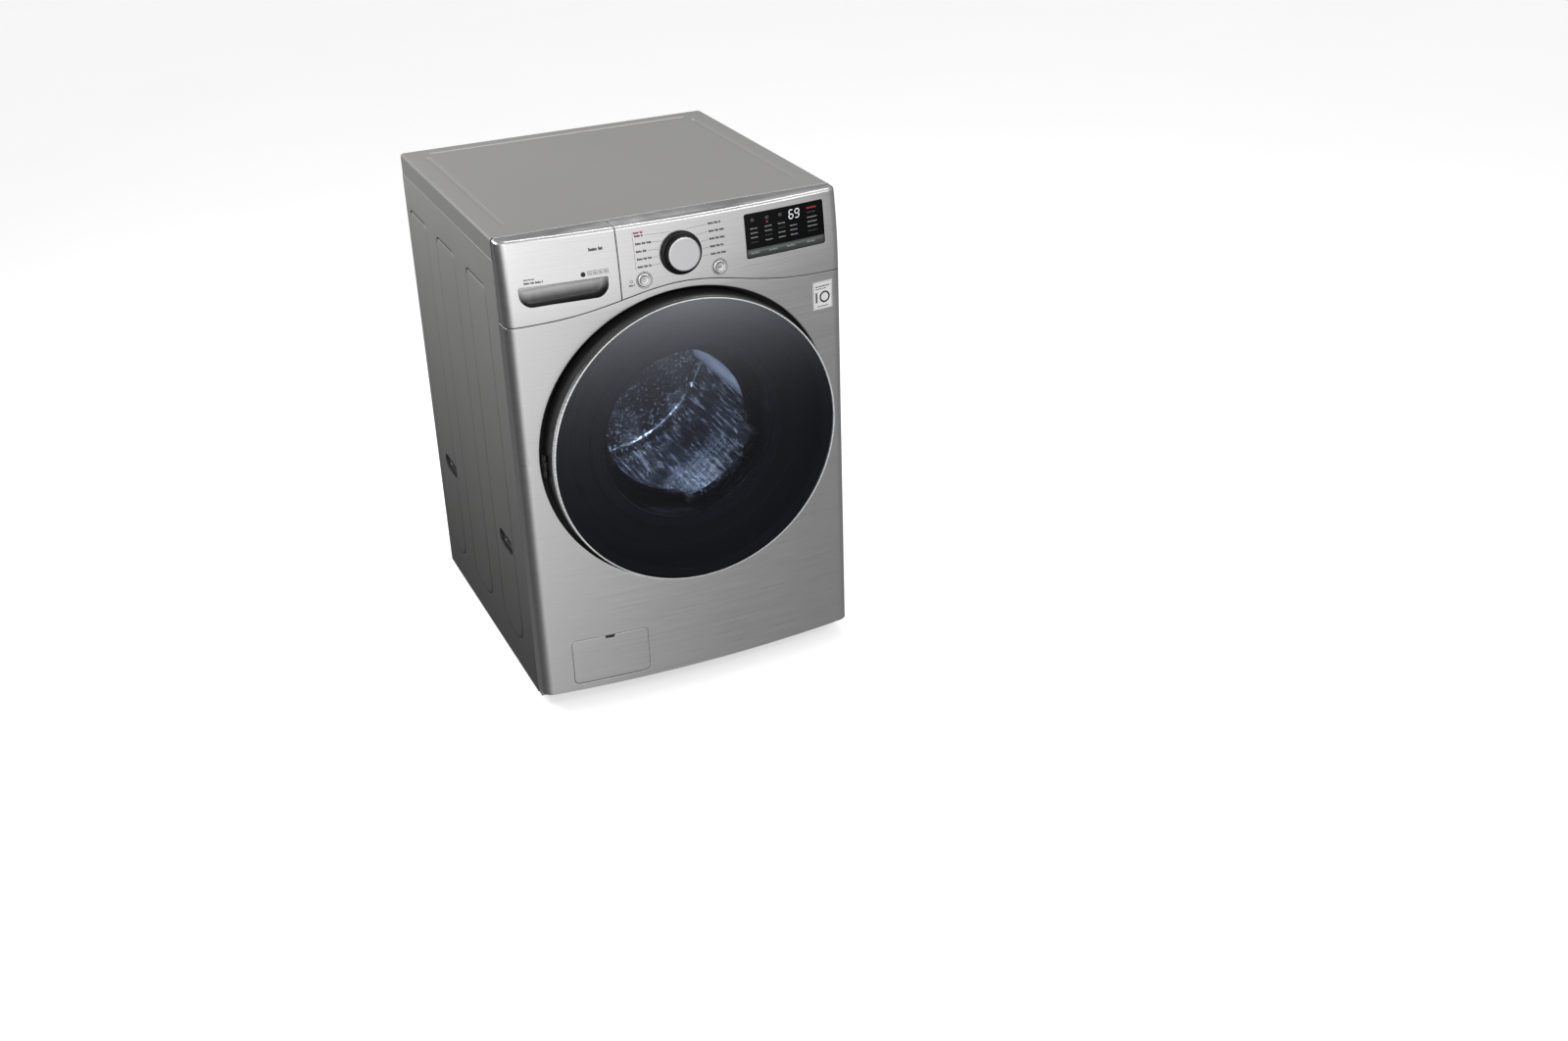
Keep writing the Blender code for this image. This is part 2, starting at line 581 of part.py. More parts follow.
def make_door():
    """The door's moulded ring, chromed rim, domed glass, inner frame, glass bowl and latch."""
    edge_y = GLASS_FRONT_Y + GLASS_RISE
    ledge_y = edge_y + GLASS_THICK + CLEAR
    rim_y = ledge_y + 0.005
    ring = [(RING_R, -0.3250), (RING_R - 0.0008, rim_y), (GLASS_R, rim_y), (GLASS_R, ledge_y),
            (RING_LEDGE_R, ledge_y), (RING_LEDGE_R, ledge_y + 0.003), (0.2890, ledge_y + 0.003),
            (0.2900, rim_y + 0.003), (0.2925, rim_y + 0.003), (0.2932, -0.3250)]
    outer = turned("door_ring", ring, "painted_dark", steps=DOOR_STEPS)
    boolean(outer, box("arm_notch", (-0.31, -0.3465, DOOR_Z - 0.011), (-0.28, -0.31, DOOR_Z + 0.011)))
    seat = rim_y - CLEAR
    trim = [(RING_R - 0.0010, seat), (RING_R - 0.0038, edge_y - 0.0015), (GLASS_R + CLEAR, edge_y - 0.0015),
            (GLASS_R + CLEAR, seat)]
    turned("door_trim", trim, "chrome", steps=DOOR_STEPS)
    rings = 3
    front = [(GLASS_R * i / rings, GLASS_FRONT_Y + GLASS_RISE * (i / rings) ** 2) for i in range(rings + 1)]
    back = [(radius, y + GLASS_THICK) for radius, y in reversed(front)]
    turned("door_glass", front + back, "dark_glass", steps=DOOR_STEPS)
    frame = [(0.1800, FRAME_Y), (FRAME_R, FRAME_Y), (FRAME_R, FRAME_Y + 0.003), (0.1800, FRAME_Y + 0.003)]
    turned("door_inner_frame", frame, "grey_plastic", steps=DOOR_STEPS)
    flange_y = FRAME_Y - CLEAR
    bowl = [(0.2000, -0.3325), (0.2000, flange_y), (BOWL_R, flange_y), (BOWL_R - 0.003, -0.3000),
            (0.1560, -0.2350), (0.1440, -0.2220), (0.1200, -0.2160), (0.0, -0.2120), (0.0, -0.2160),
            (0.1190, -0.2200), (0.1410, -0.2255), (0.1520, -0.2370), (BOWL_R - 0.007, -0.3010),
            (BOWL_R - 0.004, -0.3325)]
    turned("door_bowl", bowl, "clear_glass", steps=STEPS)
    latch = box("door_latch", (0.2370, -0.3257, DOOR_Z - 0.020), (0.2530, -0.3190, DOOR_Z + 0.020), "zinc")
    hook = (DOOR_Z - 0.005, DOOR_Z + 0.005)
    boolean(latch, box("hook_arm", (0.2400, -0.3200, hook[0]), (0.2450, -0.2890, hook[1])), "UNION")
    boolean(latch, box("hook_tip", (0.2440, -0.2960, hook[0]), (0.2510, -0.2890, hook[1])), "UNION")


def make_hinge():
    """A fixed bracket and the door's arm, joined by a pin with clearance in both."""
    pin_r, bore_r, knuckle_r = 0.0020, 0.0023, 0.0033
    half = 0.022

    def upright(name, radius, low, high, look=None):
        ends = [(HINGE_X, HINGE_Y, DOOR_Z + z) for z in (low, high)]
        return cylinder(name, radius, *ends, look, steps=16)

    low, high = DOOR_Z - half, DOOR_Z + half
    bracket = box("hinge_bracket", (-0.3015, -0.3146, low), (-0.2600, FLOOR_Y - CLEAR, high), "zinc")
    neck = box("hinge_neck", (-0.3028, -0.3385, low), (-0.2990, -0.3130, high))
    boolean(bracket, neck, "UNION")
    for i, (low, high) in enumerate([(-0.0222, -0.0090), (0.0090, 0.0222)]):
        boolean(bracket, upright(f"fixed_knuckle_{i + 1}", knuckle_r, low, high), "UNION")
    boolean(bracket, box("knuckle_gap", (-0.31, -0.36, DOOR_Z - 0.0093), (-0.29, -0.3240, DOOR_Z + 0.0093)))
    bore = upright("hinge_bore", bore_r, -0.03, 0.03)
    boolean(bracket, bore)
    upright("hinge_pin", pin_r, -0.0240, 0.0240, "stainless")
    arm_half = 0.0085
    low, high = DOOR_Z - arm_half, DOOR_Z + arm_half
    arm = box("hinge_arm", (HINGE_X + 0.0005, -0.3425, low), (-0.2620, -0.3375, high), "zinc")
    pad = box("arm_pad", (-0.2850, -0.3380, DOOR_Z - 0.0200), (-0.2620, FRAME_Y - CLEAR, DOOR_Z + 0.0200))
    boolean(arm, pad, "UNION")
    boolean(arm, upright("moving_knuckle", knuckle_r, -arm_half, arm_half), "UNION")
    boolean(arm, bore)


# ---------------------------------------------------------------- tub, drum and drive


def make_tub():
    front = [(0.2160, -0.2590), (0.2160, -0.2430), (0.2900, -0.2430), (0.3020, -0.2310), (0.3020, -0.0040),
             (0.3100, -0.0040)]
    turned("tub_front", front, "grey_plastic", sheet=0.004)
    rear = [(0.312, -0.0015), (0.312, 0.0045), (TUB_R, 0.0045), (TUB_R, 0.270), (0.292, 0.284),
            (0.047, 0.290), (0.045, 0.336), (0.0313, 0.336), (0.0313, 0.266), (0.050, 0.266),
            (0.054, 0.286), (0.290, 0.280), (0.300, 0.268), (0.300, -0.0015)]
    tub = turned("tub_rear", rear, "grey_plastic")
    for side in (-1, 1):
        low, high = sorted((side * 0.2830, side * 0.3270))
        ear = box(f"ear_{'left' if side < 0 else 'right'}", (low, 0.0080, 0.6500), (high, 0.0320, 0.6590))
        boolean(tub, ear, "UNION")
    ballast = [(0.2320, -0.2690), (0.2960, -0.2690), (0.2980, -0.2455), (0.2320, -0.2455)]
    turned("front_counterweight", ballast, "concrete")
    box("top_counterweight", (-0.1200, -0.1000, 0.8660), (0.1400, 0.1200, 0.8950), "concrete", bevel=0.008)


def about_drum(degrees):
    return Matrix.Translation((0, 0, DOOR_Z)) @ Matrix.Rotation(math.radians(degrees), 4, "Y")


def make_drum():
    shell = [(0.1960, -0.2180), (0.1975, -0.2260), (0.2060, DRUM_FRONT), (0.2620, -0.2230), (0.2760, -0.2090),
             (DRUM_R, -0.1900), (DRUM_R, 0.2250), (0.2720, 0.2380), (0.2550, DRUM_BACK), (0.0300, DRUM_BACK)]
    turned("drum_shell", shell, "stainless", sheet=SHEET)
    section = [(-0.040, 0.2735), (0.040, 0.2735), (0.030, 0.2560), (0.014, 0.2200), (0.0, 0.2150),
               (-0.014, 0.2200), (-0.030, 0.2560)]
    spider = cylinder("spider", 0.0440, (0, 0.2465, DOOR_Z), (0, 0.2640, DOOR_Z), "cast_aluminium", steps=32)
    for i in range(3):
        lifter = prism(f"lifter_{i + 1}", section, "Y", -0.1850, 0.2200, "grey_plastic")
        lifter.matrix_world = about_drum(LIFTER_START + 120 * i)
        arm = box(f"spider_arm_{i + 1}", (-0.0200, 0.2465, 0.010), (0.0200, 0.2620, 0.2600))
        arm.matrix_world = about_drum(LIFTER_START + 60 + 120 * i) @ arm.matrix_world
        boolean(spider, arm, "UNION")
    shaft = cylinder("drive_shaft", 0.0150, (0, 0.2550, DOOR_Z), (0, 0.3600, DOOR_Z), steps=32)
    boolean(spider, shaft, "UNION")
    rotor = [(0.0153, 0.3385), (0.0240, 0.3385), (0.0240, 0.3420), (0.1240, 0.3420), (0.1240, 0.3000),
             (0.1300, 0.3000), (0.1300, 0.3450), (0.0240, 0.3450), (0.0240, 0.3520), (0.0153, 0.3520)]
    turned("rotor", rotor, "zinc")
    stator = [(0.0620, 0.2940), (0.1200, 0.2940), (0.1200, 0.3220), (0.0620, 0.3220)]
    turned("stator", stator, "copper", steps=36)
    for name, start in (("bearing_front", 0.2700), ("bearing_rear", 0.3180)):
        ring = [(0.0153, start), (0.0310, start), (0.0310, start + 0.016), (0.0153, start + 0.016)]
        turned(name, ring, "stainless", steps=24)


def make_suspension():
    turns, per_turn, coil = 8, 6, 0.0095
    low, high = 0.6608, 0.8562
    for side, name in ((-1, "left"), (1, "right")):
        points = []
        for i in range(turns * per_turn + 1):
            turn = 2 * math.pi * i / per_turn
            z = low + (high - low) * i / (turns * per_turn)
            points.append((side * 0.315 + coil * math.cos(turn), 0.020 + coil * math.sin(turn), z))
        hose(f"spring_{name}", points, 0.0016, "stainless", sides=0)
        foot = Vector((side * 0.2350, 0.050, 0.0630))
        middle = Vector((side * 0.2205, 0.050, 0.1850))
        head = Vector((side * 0.2070, 0.050, 0.3050))
        damper = cylinder(f"damper_{name}", 0.0150, foot, middle, "black_plastic", steps=20)
        rod = cylinder(f"damper_rod_{name}", 0.0060, foot.lerp(middle, 0.9), head, steps=16)
        boolean(damper, rod, "UNION")


# ---------------------------------------------------------------- drain


def make_drain():
    x, z = PUMP_X, PUMP_Z
    cup = [(0.0300, -0.2880), (0.0360, -0.2880), (0.0360, -0.1650), (0.0300, -0.1650), (0.0300, -0.1050),
           (0.0, -0.1050), (0.0, -0.1750), (0.0300, -0.1750)]
    pump = turned("drain_pump", cup, "grey_plastic", (x, 0, z), steps=32)
    boolean(pump, cylinder("pump_inlet", 0.0150, (x, -0.200, z + 0.034), (x, -0.200, z + 0.060)), "UNION")
    boolean(pump, cylinder("pump_outlet", 0.0120, (x + 0.034, -0.190, z), (x + 0.060, -0.190, z)), "UNION")
    boolean(pump, box("pump_stand", (x - 0.030, -0.2700, 0.0220), (x + 0.030, -0.1300, 0.0700)), "UNION")
    cap = [(0.0, -0.3020), (0.0340, -0.3020), (0.0360, -0.3000), (0.0360, -0.2883), (0.0290, -0.2883),
           (0.0270, -0.2100), (0.0240, -0.2100), (0.0240, -0.2870), (0.0, -0.2870)]
    lid = turned("filter_cap", cap, "black_plastic", (x, 0, z), steps=32)
    boolean(lid, box("cap_grip", (x - 0.026, -0.3120, z - 0.0045), (x + 0.026, -0.3000, z + 0.0045)), "UNION")
    wheel = [(0.0, -0.2020), (0.0060, -0.2020), (0.0060, -0.1890), (0.0230, -0.1890), (0.0230, -0.1780),
             (0.0, -0.1780)]
    impeller = turned("pump_impeller", wheel, "white_plastic", (x, 0, z), steps=24)
    for name, half_x, half_z in (("vane_across", 0.021, 0.0015), ("vane_up", 0.0015, 0.021)):
        vane = box(name, (x - half_x, -0.2000, z - half_z), (x + half_x, -0.1880, z + half_z))
        boolean(impeller, vane, "UNION")
    bend = through([(x, -0.200, z + 0.0665), (x, -0.200, z + 0.085), (x + 0.035, -0.160, z + 0.115),
                    (-0.1200, -0.1300, 0.2350), (-0.1200, -0.1300, 0.2600)])
    hose("sump_hose", bend, 0.0160, "black_rubber")
    away = through([(x + 0.0603, -0.190, z), (x + 0.110, -0.190, z), (0.150, -0.190, 0.0950),
                    (0.285, -0.120, 0.1150), (0.3200, 0.1200, 0.2500), (0.3100, 0.2900, 0.5200),
                    (DRAIN_X, 0.3300, 0.7900), (DRAIN_X, 0.3560, DRAIN_Z), (DRAIN_X, 0.3840, DRAIN_Z)])
    hose("drain_hose", away, 0.0120, "black_rubber", sides=1)


def make_cover():
    outline = rounded(COVER_X, COVER_Z + 0.0006, COVER_W - 2 * GAP, COVER_H - 2 * GAP - 0.0012, 0.0094)
    cover = skin_piece("access_cover", outline, "steel_front", 0.0020)
    notch = rounded(COVER_X, COVER_Z + COVER_H / 2, 0.021, 0.009, 0.002)
    boolean(cover, prism("finger_notch", notch, "Y", -0.42, -0.30))


# ---------------------------------------------------------------- assembly

make_base()
make_feet()
make_side("side_panel_left", -1)
make_side("side_panel_right", 1)
make_rear()
make_top()
make_front_panel()
make_cover()
make_control_panel()
make_display()
make_controls()
make_drawer()
make_dispenser()
make_surround()
make_door()
make_hinge()
make_tub()
make_drum()
make_suspension()
make_drain()
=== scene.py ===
"""Looks of a front load washing machine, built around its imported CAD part.

Metres, in the part's frame: +Z up, -Y is the front, +X the right side seen from the front.
"""

import json
import math

import bmesh
import bpy
import numpy as np
from mathutils import Matrix, Vector
from mathutils.geometry import delaunay_2d_cdt

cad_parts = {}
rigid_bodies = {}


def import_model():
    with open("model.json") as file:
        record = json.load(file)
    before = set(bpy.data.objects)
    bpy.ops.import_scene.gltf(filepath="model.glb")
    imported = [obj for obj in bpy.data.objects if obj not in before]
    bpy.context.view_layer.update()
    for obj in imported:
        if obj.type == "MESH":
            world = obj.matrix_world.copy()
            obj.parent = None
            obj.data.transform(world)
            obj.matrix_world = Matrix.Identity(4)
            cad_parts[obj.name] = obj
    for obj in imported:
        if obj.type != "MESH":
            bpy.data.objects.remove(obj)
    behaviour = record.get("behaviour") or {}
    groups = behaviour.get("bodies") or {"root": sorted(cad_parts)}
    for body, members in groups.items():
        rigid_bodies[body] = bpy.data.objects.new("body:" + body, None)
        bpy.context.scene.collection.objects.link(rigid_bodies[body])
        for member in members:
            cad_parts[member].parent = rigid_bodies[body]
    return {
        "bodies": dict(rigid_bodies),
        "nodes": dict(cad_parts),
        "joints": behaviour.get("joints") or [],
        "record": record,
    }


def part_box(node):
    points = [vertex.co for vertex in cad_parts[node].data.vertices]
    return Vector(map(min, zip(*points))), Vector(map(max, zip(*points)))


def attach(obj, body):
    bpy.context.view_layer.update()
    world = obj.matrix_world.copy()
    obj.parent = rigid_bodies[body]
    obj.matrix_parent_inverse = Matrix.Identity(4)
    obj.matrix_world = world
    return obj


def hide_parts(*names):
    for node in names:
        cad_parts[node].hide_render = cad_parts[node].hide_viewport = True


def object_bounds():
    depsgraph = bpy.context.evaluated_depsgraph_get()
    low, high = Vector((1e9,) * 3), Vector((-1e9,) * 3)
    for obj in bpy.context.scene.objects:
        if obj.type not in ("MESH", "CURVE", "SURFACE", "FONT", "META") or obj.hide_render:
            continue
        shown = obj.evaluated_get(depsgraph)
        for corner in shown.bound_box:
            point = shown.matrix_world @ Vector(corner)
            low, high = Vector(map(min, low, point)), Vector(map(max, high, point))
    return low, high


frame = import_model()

CAD_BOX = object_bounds()

# ---------------------------------------------------------------- sizes, from the frame


def front_box(name):
    """Centre and size of a CAD node's box, as (x, z), seen from the front."""
    low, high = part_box(name)
    return ((low.x + high.x) / 2, (low.z + high.z) / 2), (high.x - low.x, high.z - low.z)


def middle(name):
    low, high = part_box(name)
    return (low + high) / 2


HALF, BACK_Y, HEIGHT = CAD_BOX[1]
SEAM_Y, PLATE_BACK_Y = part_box("top_plate")[0].y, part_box("top_plate")[1].y
PLATE_LOW_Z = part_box("top_plate")[0].z
FRONT_LOW_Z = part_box("front_panel")[0].z
FRONT_BACK_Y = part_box("front_panel")[1].y
PANEL_BACK_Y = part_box("control_panel")[1].y
SHUT_X = (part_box("drawer_front")[1].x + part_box("control_panel")[0].x) / 2
SHUT_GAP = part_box("control_panel")[0].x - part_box("drawer_front")[1].x
DOOR_Z = front_box("door_glass")[0][1]
SURROUND_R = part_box("door_surround")[1].x
OPENING_R = SURROUND_R + SHUT_GAP
FLOOR_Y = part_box("door_surround")[0].y
LIFTER_START = math.degrees(math.atan2(middle("lifter_1").x, middle("lifter_1").z - DOOR_Z))
KNOB_X, KNOB_AXIS_Z = middle("knob_cap").x, 0.925
COVER, COVER_SIZE = front_box("access_cover")
DISPLAY_AT, DISPLAY_SIZE = front_box("display_window")
BUTTON = front_box("start_button")[0]

# The front's own form: bowed in plan, with round vertical corners, leaning back above the door.
BOW = 0.025
LEAN, LEAN_START = 0.015, 0.828
CORNER = 0.022
FACE_EDGE_Y = SEAM_Y - 0.045
SEAM_Z, SEAM_ARCH, SEAM_SPREAD = 0.828, 0.042, 0.17
TOP_ROUND = 0.0075                    # along the upper edge of the control panel
EDGE = 0.0007                         # on sheet edges and shut lines
SHUT_HALF = SHUT_GAP / 2 + 0.0004     # from the middle of a shut line to the sheet beside it
SEAM_HALF, SEAM_DEPTH = 0.0012, 0.0005
OPENING_ROLL = 0.003                 # on the front's edge round the door
COVER_DROP = 0.0012                   # extra gap below the access cover, where it turns

# Top plate, side panels and back: pressed beads and ribs as (centre, size).
BEADS = [((0.0, 0.3485), (0.584, 0.013)), ((-0.2985, 0.0555), (0.013, 0.536)),
         ((0.2985, 0.0555), (0.013, 0.536))]
BEAD_DEPTH = 0.0033
PRESSINGS = [((centre, 0.4825), (0.13, 0.785)) for centre in (0.2935, 0.0835, -0.1325)]
PRESSING_HEAD, PRESSING_FOOT = 0.016, 0.05
# The last of these is the half-width of the painted shade strip in each groove.
GROOVE_HALF, GROOVE_DEPTH, GROOVE_SHADE_LINE = 0.0046, 0.0028, 0.002
HOLD_YS, HOLD_Z, HOLD_SIZE, HOLD_DEPTH = (-0.1445, 0.27), 0.31, (0.0856, 0.0316), 0.0104
SIDE_ROLL = 0.0015
REAR_RIBS = [((0.0, 0.14), (0.54, 0.12)), ((-0.278, 0.54), (0.06, 0.5)),
             ((0.278, 0.5), (0.06, 0.42))]
REAR_RIB_R, REAR_RIB_HALF, REAR_RIB_DEPTH = 0.02, 0.004, 0.0012
COVER_RIB, COVER_RIB_R, COVER_RIB_PITCH, COVER_RIB_DEPTH = (0.3, 0.03), 0.0149, 0.068, 0.004
VENT_XS, VENT_ZS = (-0.15, -0.085, -0.02), [0.838 + 0.014 * k for k in range(5)]
INLET_XS, INLET_Z = (0.17, 0.235), 0.905

# Controls and their print.
KNOB_R = 0.0415
BUTTON_R = 0.0128
POCKET_LEFT, POCKET_RIGHT = -0.3125, -0.1455
POCKET_HIGH, POCKET_LOW = 0.903, 0.8655
PITCH = 0.0144                 # between the lines of print beside the knob
LEGEND = 0.0044                # height of the panel's print
STROKES = (1.0, 0.7, 0.7, 0.85, 0.7, 0.7, 0.0, 1.0, 0.7, 0.85, 0.7, 0.0)    # heights of its strokes

# Door and drum.
GLASS_RISE = 0.01             # dome of the door's glass
DRUM_FRONT_Y, DRUM_BACK_Y, DRUM_PITCH = -0.19, 0.225, 0.0112
DRUM_END_Y, DRUM_HUB_Y = 0.242, 0.2378
HUB_R, BACK_RIM_R = 0.056, 0.248

DOOR_STEPS, KNOB_STEPS = 256, 96      # flat sides of what is turned
FORWARD, UP = (0, -1, 0), (0, 0, 1)

# Studio light. Ranges are (from, to, light at the first, light at the second).
ROOM_RISE = (-0.6, 0.8, 0.22, 0.5)       # how high a direction points
ROOM_SHARES = {"X": (-0.95, -0.25, 0.4, 1.0), "Y": (-0.1, 0.75, 1.0, 0.62)}
SOURCE_TOWARDS = (-0.2, -0.96, 0.17)
SOURCE_REACH = (0.6, 0.92, 0.0, 1.0)       # nearness to that direction
SOURCE_FALL = (-0.58, -0.28, 0.37, 1.12)    # the same source's share lower down
SOURCE_CAP = (-0.25, 0.1, 1.0, 0.72)       # and a little less again above
AIM = (0.0, 0.0, HEIGHT * 0.55)
LAMPS = [                                   # name, place, aim, width and height, power
    ("key", (-1.75, -4.0, 2.2), AIM, (1.6, 2.2), 16.5),
    ("overhead", (0.85, 0.6, 3.1), (0.85, 0.0, HEIGHT), (1.9, 0.24), 21.0),
    ("side_high", (-1.7, 0.9, 1.9), (-HALF, 0.1, 0.8), (0.9, 0.9), 30.0),
    ("crown_strip", (1.35, -2.55, 2.35), AIM, (1.9, 0.5), 16.0),
    ("corner_strip", (-0.55, -3.4, -0.5), (-HALF, -0.3, 0.3), (0.35, 3.4), 2.2),
]
DRUM_LAMPS = [                              # place and aim about the drum's axis, diameter, power
    ((-0.06, -0.205, 0.205), (0.02, 0.15, -0.1), 0.05, 2.6),
    ((0.17, -0.2, 0.09), (-0.1, 0.2, 0.05), 0.03, 1.1),
    ((-0.17, -0.2, -0.06), (0.15, 0.2, 0.0), 0.03, 1.1),
]

# The camera: its place, its turn, rise and tilt in degrees, and its lens.
CAMERA_AT = (-1.1607, -3.388, 2.0081)
CAMERA_TURN, CAMERA_RISE, CAMERA_TILT = -23.934, 26.903, -2.031
LENS, SENSOR = 41.69, 36.0


def face_rise(z):
    return max(0.0, (z - LEAN_START) / (HEIGHT - LEAN_START))


def face_y(x, z):
    return FACE_EDGE_Y - BOW * (1 - (x / HALF) ** 2) + LEAN * face_rise(z) ** 2


def face_normal(x, z):
    slope_z = 2 * LEAN * face_rise(z) / (HEIGHT - LEAN_START)
    return Vector((2 * BOW * x / HALF ** 2, -1, slope_z)).normalized()


def seam_z(x):
    return SEAM_Z + SEAM_ARCH * math.exp(-(x / SEAM_SPREAD) ** 2)


def bend_start():
    """Where the bowed face turns into the round corner, and the face's angle there."""
    x = HALF
    for _ in range(20):
        angle = math.atan(2 * BOW * x / HALF ** 2)
        x = HALF - CORNER * (1 - math.sin(angle))
    return x, angle


BEND_X, BEND_ANGLE = bend_start()
BEND_LENGTH = CORNER * (math.pi / 2 - BEND_ANGLE)
FLANGE = 0.026
WRAP = BEND_X + BEND_LENGTH + FLANGE      # how far the front reaches along its own surface


def on_front(u, z, back=FRONT_BACK_Y):
    """Point and normal of the front at u along its surface from the middle, at height z."""
    side = 1 if u >= 0 else -1
    far = abs(u)
    if far <= BEND_X:
        normal = face_normal(far, z)
        point = Vector((far, face_y(far, z), z))
    else:
        centre_x = HALF - CORNER
        centre_y = face_y(BEND_X, z) + CORNER * math.cos(BEND_ANGLE)
        turn = min(math.pi / 2, BEND_ANGLE + (far - BEND_X) / CORNER)
        past = max(0.0, far - BEND_X - BEND_LENGTH) / FLANGE
        normal = Vector((math.sin(turn), -math.cos(turn), 0))
        point = Vector((centre_x, centre_y, z)) + normal * CORNER
        point.y += past * (back - centre_y)
    return Vector((side * point.x, point.y, z)), Vector((side * normal.x, normal.y, normal.z))


# ---------------------------------------------------------------- materials


class Graph:
    """The shader nodes of a material or of the world."""

    def __init__(self, tree):
        self.nodes, self.links = tree.nodes, tree.links

    def add(self, kind, inputs=(), **settings):
        node = self.nodes.new("ShaderNode" + kind)
        for setting, value in settings.items():
            setattr(node, setting, value)
        for socket, value in dict(inputs).items():
            if isinstance(value, bpy.types.NodeSocket):
                self.links.new(value, node.inputs[socket])
            else:
                node.inputs[socket].default_value = value
        return node

    def part(self, vector, axis):
        return self.add("SeparateXYZ", {"Vector": vector}).outputs[axis]

    def spread(self, value, low, high, start=0.3, end=0.7, **settings):
        inputs = {"Value": value, "From Min": start, "From Max": end, "To Min": low, "To Max": high}
        return self.add("MapRange", inputs, **settings).outputs["Result"]

    def maths(self, operation, first, second=0.0):
        return self.add("Math", {0: first, 1: second}, operation=operation).outputs[0]


class Look(Graph):
    """A material being built: a Principled shader and the nodes that vary it."""

    def __init__(self, name, colour, roughness, metallic=0.0, **sockets):
        self.made = bpy.data.materials.new(name)
        self.made.use_nodes = True
        super().__init__(self.made.node_tree)
        self.shader = self.nodes["Principled BSDF"]
        self.output = self.nodes["Material Output"]
        self.shader.inputs["Base Color"].default_value = (*colour, 1)
        self.shader.inputs["Roughness"].default_value = roughness
        self.shader.inputs["Metallic"].default_value = metallic
        for socket, value in sockets.items():
            self.shader.inputs[socket.replace("_", " ")].default_value = value
        self.place = self.nodes.new("ShaderNodeTexCoord").outputs["Object"]

    def noise(self, stretch, detail=3.0, roughness=0.55, distortion=0.0):
        """Noise of stretch cells a metre: one number, or one each for X, Y and Z."""
        scale = stretch if isinstance(stretch, tuple) else (stretch,) * 3
        where = self.add("Mapping", {"Vector": self.place, "Scale": scale})
        made = self.add("TexNoise", {"Vector": where.outputs[0], "Scale": 1.0, "Detail": detail,
                                     "Roughness": roughness, "Distortion": distortion})
        return made.outputs["Fac"]

    def blend(self, share, first, second):
        made = self.add("Mix", {"Factor": share}, data_type="RGBA")
        for socket, value in ((6, first), (7, second)):
            if isinstance(value, bpy.types.NodeSocket):
                self.links.new(value, made.inputs[socket])
            else:
                made.inputs[socket].default_value = (*value, 1)
        return made.outputs[2]

    def vary(self, value, colour, low, high, *limits):
        """The colour, multiplied by low where value is low and by high where it is high."""
        return self.blend(self.spread(value, 0.0, 1.0, *limits), shade(colour, low), shade(colour, high))

    def stain(self, value, most, base, tone):
        """base, with up to a share of most of tone over it where value is high."""
        return self.blend(self.spread(value, 0.0, most), base, tone)

    def colour(self, value):
        self.links.new(value, self.shader.inputs["Base Color"])

    def rough(self, value, low, high, *limits):
        self.links.new(self.spread(value, low, high, *limits), self.shader.inputs["Roughness"])

    def bump(self, height, strength, distance):
        made = self.add("Bump", {"Height": height, "Strength": strength, "Distance": distance})
        self.links.new(made.outputs[0], self.shader.inputs["Normal"])


def shade(colour, factor):
    return tuple(min(1.0, channel * factor) for channel in colour)


def brushed(name, colour, grain, low=0.27, high=0.4):
    """Brushed steel. grain stretches the noise: few cells along the brushing, many across."""
    look = Look(name, colour, low, 1.0, Anisotropic=0.55)
    fine = look.noise(grain, 4.0, 0.7)
    coarse = look.noise(tuple(side * 0.37 for side in grain), 3.0, 0.6)
    streaks = look.maths("ADD", look.maths("MULTIPLY", fine, 0.65), look.maths("MULTIPLY", coarse, 0.35))
    shine = look.vary(streaks, colour, 0.88, 1.09, 0.38, 0.62)
    look.colour(look.stain(look.noise((2.2, 2.2, 1.6), 2.0), 0.35, shine, shade(colour, 0.96)))
    look.rough(streaks, low, high, 0.38, 0.62)
    look.bump(fine, 0.04, 0.0002)
    tangent = look.add("Tangent", direction_type="RADIAL", axis="Z")
    look.links.new(tangent.outputs[0], look.shader.inputs["Tangent"])
    return look.made


def glint_painted_steel(name, colour, dark):
    """Drum steel with painted glints: bright patches of colour over a near-black dark stand in for
    reflections, streaked round it, with shallow ripples.
    """
    look = Look(name, colour, 0.2, 0.95)
    streaks = look.noise((130.0, 14.0, 130.0), 3.0, 0.6)
    broken = look.noise((46.0, 60.0, 46.0), 3.0, 0.6, 0.6)
    # Painted glints: bright colour in broken patches, the near-black dark between them.
    glint_patches = look.spread(look.noise(7.5, 1.0), 0.0, 1.0, 0.5, 0.58)
    glints = look.maths("MULTIPLY", glint_patches, look.spread(broken, 0.1, 1.0, 0.42, 0.55))
    base = look.blend(glints, dark, colour)
    look.colour(look.blend(look.spread(streaks, 0.0, 1.0, 0.52, 0.66), base, shade(colour, 0.9)))
    look.rough(streaks, 0.18, 0.3)
    look.bump(broken, 0.4, 0.002)
    return look.made


def painted(name, colour, metallic, roughness, coat=0.1, foot=1.0):
    """Metallic paint on sheet: fine flake, orange peel and slow mottling. foot is painted shade: the share
    of the colour left at the bottom, so it is darker towards the bottom.
    """
    look = Look(name, colour, roughness, metallic, Coat_Weight=coat, Coat_Roughness=0.12)
    flake, mottle = look.noise(1900, 1.0), look.noise(3.5)
    base = look.stain(mottle, 0.6, look.vary(flake, colour, 0.93, 1.07), shade(colour, 0.96))
    # Painted shade: towards the bottom the colour falls to foot of itself.
    height = look.maths("ADD", look.part(look.place, "Z"), look.maths("MULTIPLY", mottle, 0.1))
    look.colour(look.blend(look.spread(height, 1.0, 0.0, 0.1, HEIGHT), base, shade(colour, foot)))
    look.rough(mottle, roughness - 0.03, roughness + 0.05)
    look.bump(look.noise(380, 2.0), 0.06, 0.0006)
    return look.made


